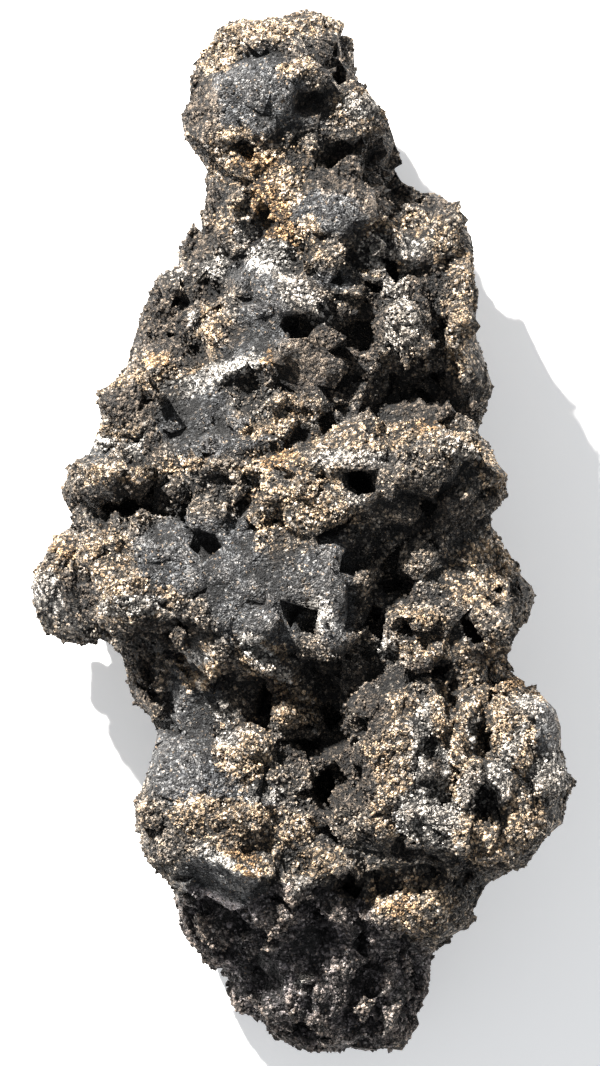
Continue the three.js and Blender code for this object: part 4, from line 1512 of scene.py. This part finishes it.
def lay_out_skin(mesh):
    """Lays each face in the view that it looks towards."""
    places = read_numbers(mesh.vertices, "co", 3)
    numbers = read_numbers(mesh.loops, "vertex_index", 1, np.int32)
    lowest, highest = places.min(0), places.max(0)
    shares = ((places - lowest) / (highest - lowest))[numbers]
    looks = np.abs(face_normals).argmax(1)
    signs = np.sign(face_normals[np.arange(len(looks)), looks])
    looks, signs = np.repeat(looks, 3), np.repeat(signs, 3)
    spots = np.zeros((len(numbers), 2), np.float32)
    for axis, sign, left, bottom, width, height in VIEWS:
        here = (looks == axis) & (signs == sign)
        u, v = SPREAD_AXES[axis]
        spots[here, 0] = left + GUTTER + shares[here, u] * (width - 2 * GUTTER)
        spots[here, 1] = bottom + GUTTER + shares[here, v] * (height - 2 * GUTTER)
    bake_layer(mesh, spots)


lay_out_skin(rock.data)
print("the skin has places for baking")


# %% A cell for each grain
DISC_SIZE = 0.45  # half of a grain's cell, less a gutter


def lay_out_grains(mesh, crystal):
    """Flattens each grain into a disc, as a globe is on a map, and gives each disc a cell."""
    corners = np.array(CRYSTALS[crystal][0])
    corners = corners / np.linalg.norm(corners, axis=1)[:, None]
    corners = corners @ np.array(Euler((0.7, 0.4, 1.1)).to_matrix())  # no corner at a pole
    from_pole = np.arccos(np.clip(corners[:, 2], -1, 1)) / math.pi
    spread = from_pole / np.hypot(corners[:, 0], corners[:, 1])
    discs = corners[:, :2] * spread[:, None]
    count = len(mesh.vertices) // len(corners)
    rows = math.ceil(math.sqrt(count))
    cells = np.stack([np.arange(count) % rows, np.arange(count) // rows], 1)
    spots = ((cells[:, None] + 0.5 + discs * DISC_SIZE) / rows).reshape(-1, 2)
    bake_layer(mesh, spots[read_numbers(mesh.loops, "vertex_index", 1, np.int32)])


for piece, crystal in GRAIN_PIECES:
    lay_out_grains(piece.data, crystal)
print(len(GRAIN_PIECES), "meshes of grains have places for baking too")

# %% [markdown]
# ## Node groups
#
# The skin and the grains share four effects, and each is a group that is built once.
# `mineral_grain` breaks a surface into crystals, each with its own shade and with a gap round it.
# `winding_lines` draws thin crests or creases. `broken_mask` gives a soft patch a crumbly outline.
# `painted_edge_light` paints highlight on sharp edges and shade in creases.

# %% Small helpers for nodes
def new_group(name, inputs, outputs):
    """A shader node group with these sockets, and its input and output nodes."""
    tree = bpy.data.node_groups.new(name, "ShaderNodeTree")
    for socket, kind, value in inputs:
        made = tree.interface.new_socket(socket, in_out="INPUT", socket_type=kind)
        if value is not None:
            made.default_value = value
    for socket, kind in outputs:
        tree.interface.new_socket(socket, in_out="OUTPUT", socket_type=kind)
    return tree, tree.nodes.new("NodeGroupInput"), tree.nodes.new("NodeGroupOutput")


def add_node(tree, kind, links=(), **values):
    """A node with its properties and sockets set. Links are (socket here, socket there) pairs."""
    made = tree.nodes.new(kind)
    for key, value in values.items():
        if hasattr(made, key):
            setattr(made, key, value)
        else:
            made.inputs[key.replace("_", " ")].default_value = value
    for socket, source in links:
        tree.links.new(source, made.inputs[socket])
    return made


# %% Numbers and colours in nodes
def feed(tree, socket, value):
    """Sets a socket to a number or a colour, or links it to another node's socket."""
    if isinstance(value, (int, float)):
        socket.default_value = value
    elif isinstance(value, tuple):
        socket.default_value = (*value, 1)
    else:
        tree.links.new(value, socket)


def maths(tree, operation, a, b=0.0, clamp=False):
    """A maths node on two sockets or numbers."""
    made = tree.nodes.new("ShaderNodeMath")
    made.operation = operation
    made.use_clamp = clamp
    for socket, value in zip(made.inputs, (a, b)):
        feed(tree, socket, value)
    return made.outputs[0]


def product(tree, *factors):
    """All the factors, which are sockets or numbers, multiplied one after another."""
    total = factors[0]
    for factor in factors[1:]:
        total = maths(tree, "MULTIPLY", total, factor)
    return total


def ranged(tree, value, low_in, high_in, low_out=0.0, high_out=1.0):
    """Maps one range of numbers to another, smoothly."""
    made = tree.nodes.new("ShaderNodeMapRange")
    made.interpolation_type = "SMOOTHSTEP"
    for socket, number in zip(made.inputs, (value, low_in, high_in, low_out, high_out)):
        feed(tree, socket, number)
    return made.outputs[0]


def mixed(tree, share, a, b, blend="MIX"):
    """A mix of two colours. A colour may be a socket or three numbers."""
    made = tree.nodes.new("ShaderNodeMix")
    made.data_type = "RGBA"
    made.blend_type = blend
    for socket, value in ((made.inputs["Factor"], share), (made.inputs[6], a), (made.inputs[7], b)):
        feed(tree, socket, value)
    return made.outputs[2]


# %% Mineral grain
grain_group, grain_in, grain_out = new_group(
    "mineral_grain",
    [("Place", "NodeSocketVector", None), ("Grains per metre", "NodeSocketFloat", 1000.0)],
    [(socket, "NodeSocketFloat") for socket in ("Shade", "Hue", "Height", "Gap")],
)
cells = add_node(
    grain_group, "ShaderNodeTexVoronoi",
    [("Vector", grain_in.outputs["Place"]), ("Scale", grain_in.outputs["Grains per metre"])],
)
parted = add_node(grain_group, "ShaderNodeSeparateColor", [("Color", cells.outputs["Color"])])
from_middle = cells.outputs["Distance"]
feed(grain_group, grain_out.inputs["Shade"], parted.outputs["Red"])
feed(grain_group, grain_out.inputs["Hue"], parted.outputs["Green"])
feed(grain_group, grain_out.inputs["Height"], ranged(grain_group, from_middle, 0.0, 0.75, 1.0, 0.0))
feed(grain_group, grain_out.inputs["Gap"], ranged(grain_group, from_middle, 0.35, 0.7))

# %% Winding lines
line_group, line_in, line_out = new_group(
    "winding_lines",
    [("Place", "NodeSocketVector", None), ("Lines per metre", "NodeSocketFloat", 800.0),
     ("Width", "NodeSocketFloat", 0.1)],
    [("Line", "NodeSocketFloat")],
)
# The lines run where a noise passes through its middle.
winding = add_node(
    line_group, "ShaderNodeTexNoise",
    [("Vector", line_in.outputs["Place"]), ("Scale", line_in.outputs["Lines per metre"])],
    Detail=1.0, Distortion=1.2,
)
off_middle = maths(line_group, "ABSOLUTE", maths(line_group, "SUBTRACT", winding.outputs["Fac"], 0.5))
line = ranged(line_group, off_middle, 0.0, line_in.outputs["Width"], 1.0, 0.0)
feed(line_group, line_out.inputs["Line"], line)

# %% Broken mask
mask_group, mask_in, mask_out = new_group(
    "broken_mask",
    [("Patch", "NodeSocketFloat", 0.0), ("Noise", "NodeSocketFloat", 0.5),
     ("Sharpness", "NodeSocketFloat", 2.0)],
    [("Mask", "NodeSocketFloat")],
)
swing = product(mask_group, mask_in.outputs["Noise"], 1.6)
centred_swing = maths(mask_group, "SUBTRACT", swing, 1.3)
shifted = maths(mask_group, "ADD", mask_in.outputs["Patch"], centred_swing)
scaled = product(mask_group, shifted, mask_in.outputs["Sharpness"])
feed(mask_group, mask_out.inputs["Mask"], maths(mask_group, "ADD", scaled, 0.5, clamp=True))

# %% Painted light on edges
edge_light_group, edge_light_in, edge_light_out = new_group(
    "painted_edge_light",
    [("Sharp", "NodeSocketFloat", 0.0), ("Wear", "NodeSocketFloat", 2.0), ("Dirt", "NodeSocketFloat", 0.5)],
    [("Light", "NodeSocketFloat")],
)
painted_highlight = ranged(edge_light_group, edge_light_in.outputs["Sharp"], 0.0, 1.0, 1.0, edge_light_in.outputs["Wear"])
painted_crease_shade = ranged(edge_light_group, edge_light_in.outputs["Sharp"], -1.0, 0.0, edge_light_in.outputs["Dirt"], 1.0)
feed(edge_light_group, edge_light_out.inputs["Light"], product(edge_light_group, painted_highlight, painted_crease_shade))
print("the node groups are", [group.name for group in bpy.data.node_groups])

# %% [markdown]
# ## The stone's materials
#
# Under everything is a dark grey lava. On it lie the finishes, each with a broken outline: blue-grey
# slate, tan crust, ochre stain, pale salts, dark brown painted shade in the recesses, and the dark
# foot. Hollows get painted shade as well. Every colour is then varied crystal by crystal, with painted
# highlights on crests and edges and painted shade in creases and gaps. The grains use the same recipe,
# but each takes its shade from its own number, so a whole grain is light or dark.

# %% Colours of the stone
LAVA_DARK = (0.032, 0.030, 0.028)
LAVA_LIGHT = (0.190, 0.170, 0.148)
SLATE_DARK = (0.015, 0.016, 0.018)
SLATE_LIGHT = (0.061, 0.064, 0.067)
TAN_DARK = (0.120, 0.088, 0.056)
TAN_LIGHT = (0.540, 0.400, 0.265)
OCHRE_DARK = (0.200, 0.118, 0.054)
OCHRE_LIGHT = (0.560, 0.360, 0.185)
PALE_DARK = (0.190, 0.178, 0.162)
PALE_LIGHT = (0.540, 0.515, 0.480)
RECESS_SHADE_DARK = (0.024, 0.019, 0.015)
RECESS_SHADE_LIGHT = (0.140, 0.110, 0.083)
FOOT_DARK = (0.046, 0.041, 0.043)
FOOT_LIGHT = (0.210, 0.188, 0.193)
HOLLOW_PAINTED_SHADE = (0.008, 0.007, 0.006)
SPECK_TAN = (0.460, 0.320, 0.190)
SPECK_WHITE = (0.560, 0.545, 0.520)
SPECK_STRENGTH = 0.22

# %% Patterns in the stone
def attribute(tree, name):
    """A number that the mesh stores."""
    return add_node(tree, "ShaderNodeAttribute", attribute_name=name).outputs["Fac"]


def placed_group(tree, group, **values):
    """The outputs of a group placed in a material. Values are numbers or sockets, by input."""
    made = add_node(tree, "ShaderNodeGroup", node_tree=group)
    for name, value in values.items():
        feed(tree, made.inputs[name.replace("_", " ")], value)
    return made.outputs


def stone_patterns(tree):
    """Everything that varies from place to place in the stone, by name."""
    place = tree.nodes.new("ShaderNodeTexCoord").outputs["Object"]

    def noise(per_metre, detail):
        made = add_node(
            tree, "ShaderNodeTexNoise", [("Vector", place)],
            Scale=per_metre, Detail=detail, Roughness=0.62,
        )
        return made.outputs["Fac"]

    def lines(per_metre):
        return placed_group(tree, line_group, Place=place, Lines_per_metre=per_metre, Width=0.09)["Line"]

    return {
        "blotches": noise(150, 4),
        "clots": noise(420, 3),
        "flecks": noise(900, 3),
        "coarse": placed_group(tree, grain_group, Place=place, Grains_per_metre=1150),
        "fine": placed_group(tree, grain_group, Place=place, Grains_per_metre=2600),
        "crests": lines(800),
        "creases": lines(950),
    }


# %% Finishes laid over the lava
def stone_colour(tree, patterns):
    """Lava with the finishes laid over it, one after another."""
    flecks, blotches, coarse = patterns["flecks"], patterns["blotches"], patterns["coarse"]
    lightness = ranged(tree, maths(tree, "ADD", coarse["Shade"], blotches), 0.65, 1.5)

    def two_tone(dark, light):
        return mixed(tree, lightness, dark, light)

    def laid_on(under, finish, pattern, sharpness, top):
        patch = attribute(tree, finish)
        mask = placed_group(tree, mask_group, Patch=patch, Noise=pattern, Sharpness=sharpness)["Mask"]
        return mixed(tree, mask, under, top)

    def kept_off_slate(usual, on_slate):
        return ranged(tree, attribute(tree, "slate"), 0.1, 0.7, usual, on_slate)

    colour = two_tone(LAVA_DARK, LAVA_LIGHT)
    colour = laid_on(colour, "slate", flecks, 6.0, two_tone(SLATE_DARK, SLATE_LIGHT))

    # The crust lies as dust everywhere, and thickly on the tan patches, where some of its crystals
    # are ochre and some are pale.
    crust = two_tone(TAN_DARK, TAN_LIGHT)
    dusting = product(tree, ranged(tree, flecks, 0.5, 0.64), kept_off_slate(0.5, 0.03))
    colour = mixed(tree, dusting, colour, crust)
    ochre = two_tone(OCHRE_DARK, OCHRE_LIGHT)
    crust = mixed(tree, ranged(tree, coarse["Hue"], 0.75, 0.9, 0.0, 0.35), crust, ochre)
    bleached = two_tone(LAVA_LIGHT, PALE_LIGHT)
    crust = mixed(tree, ranged(tree, coarse["Hue"], 0.35, 0.15, 0.0, 0.6), crust, bleached)
    colour = laid_on(colour, "tan", flecks, 4.0, crust)

    colour = laid_on(colour, "foot", blotches, 4.0, two_tone(FOOT_DARK, FOOT_LIGHT))
    colour = laid_on(colour, "ochre", flecks, 4.0, ochre)
    colour = laid_on(colour, "pale", flecks, 4.0, two_tone(PALE_DARK, PALE_LIGHT))
    # Edges take the crust's colour as a painted highlight.
    edge_highlight = product(tree, attribute(tree, "edge"), kept_off_slate(0.4, 0.05))
    colour = mixed(tree, edge_highlight, colour, crust)
    # Dark brown painted shade in the recesses.
    colour = laid_on(colour, "recess_shade", flecks, 3.0, two_tone(RECESS_SHADE_DARK, RECESS_SHADE_LIGHT))
    # Hollows are darkened nearly to black: painted shade.
    painted_hollow_shade = product(tree, attribute(tree, "hollow"), 0.7)
    return mixed(tree, painted_hollow_shade, colour, HOLLOW_PAINTED_SHADE)


def with_specks(tree, colour, fine):
    """Adds specks, tan and white, that catch the light. Few lie on the painted recess shade and none deep
    in a hollow.
    """
    speck = mixed(tree, ranged(tree, fine["Hue"], 0.3, 0.5), SPECK_TAN, SPECK_WHITE)
    share = product(
        tree,
        ranged(tree, fine["Shade"], 0.88, 0.94),
        SPECK_STRENGTH,
        ranged(tree, attribute(tree, "recess_shade"), 0.2, 1.0, 1.0, 0.15),
        ranged(tree, attribute(tree, "hollow"), 0.1, 0.8, 1.0, 0.0),
    )
    return mixed(tree, share, colour, speck)


# %% Light and dark crystals
# Own is the attribute that sets the shade of a whole place, and how its values map to shades; on the
# skin it is painted shade off the slate, where the skin shows between the grains. The others are how
# light crests are and how dark creases and gaps are, all painted highlight and shade on the fine
# relief, and how far crystals differ.
SKIN_SHADES = {
    "own": ("slate", 0.2, 0.9, 0.55, 1.0),  # dark off the slate, where it shows between the grains
    "crest": 2.0,
    "crease": 0.08,
    "gap": 0.12,
    "swing": 0.4,
}
GRAIN_SHADES = {
    "own": ("shade", 0.0, 1.0, 0.3, 1.9),  # every grain has a shade of its own
    "crest": 1.15,
    "crease": 0.7,
    "gap": 0.75,
    "swing": 0.2,
}
LIGHTEST_SHADE = 2.4


def crystal_tone_and_painted_light(tree, patterns, shades):
    """How many times lighter each place is than its colour: random tone, with painted highlight and shade.
    """
    source, *span = shades["own"]
    own = ranged(tree, attribute(tree, source), *span)
    low, high = 1 - shades["swing"], 1 + shades["swing"]
    crusted = ranged(tree, attribute(tree, "slate"), 0.2, 0.9, 1.0, 0.4)
    gaps = product(tree, patterns["coarse"]["Gap"], crusted)
    sharp = attribute(tree, "sharp")
    shade = product(
        tree,
        own,
        ranged(tree, patterns["fine"]["Shade"], 0.0, 1.0, low, high),
        ranged(tree, patterns["crests"], 0.0, 1.0, 0.9, shades["crest"]),
        ranged(tree, patterns["creases"], 0.0, 1.0, 1.15, shades["crease"]),
        ranged(tree, patterns["flecks"], 0.36, 0.64, low, high),
        ranged(tree, patterns["clots"], 0.36, 0.64, 0.65, 1.35),
        ranged(tree, gaps, 0.1, 0.9, 1.5, shades["gap"]),
        # Painted highlight on sharp edges and painted shade in creases.
        placed_group(tree, edge_light_group, Sharp=sharp, Wear=2.1, Dirt=0.35)["Light"],
    )
    return maths(tree, "MINIMUM", shade, LIGHTEST_SHADE)


def stone_height(tree, patterns):
    """The finest relief: crystals, flecks and clots, with crests on them and creases cut in."""
    height = product(tree, patterns["fine"]["Height"], 0.25)
    height = maths(tree, "ADD", patterns["coarse"]["Height"], height)
    height = maths(tree, "ADD", height, product(tree, patterns["flecks"], 0.8))
    lines = maths(tree, "SUBTRACT", patterns["crests"], patterns["creases"])
    height = maths(tree, "ADD", height, lines)
    return maths(tree, "ADD", height, product(tree, patterns["clots"], 2.0))


# %% The two materials
def stone_finish(name, shades):
    """A material of the stone: its colour, its roughness and its finest relief."""
    material = bpy.data.materials.new(name)
    material.use_nodes = True
    tree = material.node_tree
    shader = tree.nodes["Principled BSDF"]
    patterns = stone_patterns(tree)

    colour = with_specks(tree, stone_colour(tree, patterns), patterns["fine"])
    shade = crystal_tone_and_painted_light(tree, patterns, shades)
    grey = add_node(
        tree, "ShaderNodeCombineColor", [("Red", shade), ("Green", shade), ("Blue", shade)]
    )
    colour = mixed(tree, 1.0, colour, grey.outputs["Color"], "MULTIPLY")
    feed(tree, shader.inputs["Base Color"], colour)

    # A few of the fine crystals are glossy.
    feed(tree, shader.inputs["Roughness"], ranged(tree, patterns["fine"]["Hue"], 0.82, 0.95, 0.9, 0.6))

    height = stone_height(tree, patterns)
    relief = add_node(tree, "ShaderNodeBump", [("Height", height)], Strength=1.0, Distance=0.0006)
    feed(tree, shader.inputs["Normal"], relief.outputs["Normal"])
    return material


rock.data.materials.append(stone_finish("lava_stone", SKIN_SHADES))
grain_material = stone_finish("lava_grain", GRAIN_SHADES)
for piece, _ in GRAIN_PIECES:
    piece.data.materials.append(grain_material)
print("the materials are", [material.name for material in bpy.data.materials])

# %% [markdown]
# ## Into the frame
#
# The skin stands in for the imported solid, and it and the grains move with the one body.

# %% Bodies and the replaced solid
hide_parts("lava_rock")
for piece in [rock] + [piece for piece, _ in GRAIN_PIECES]:
    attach(piece, "root")
print(1 + len(GRAIN_PIECES), "pieces move with the one body")
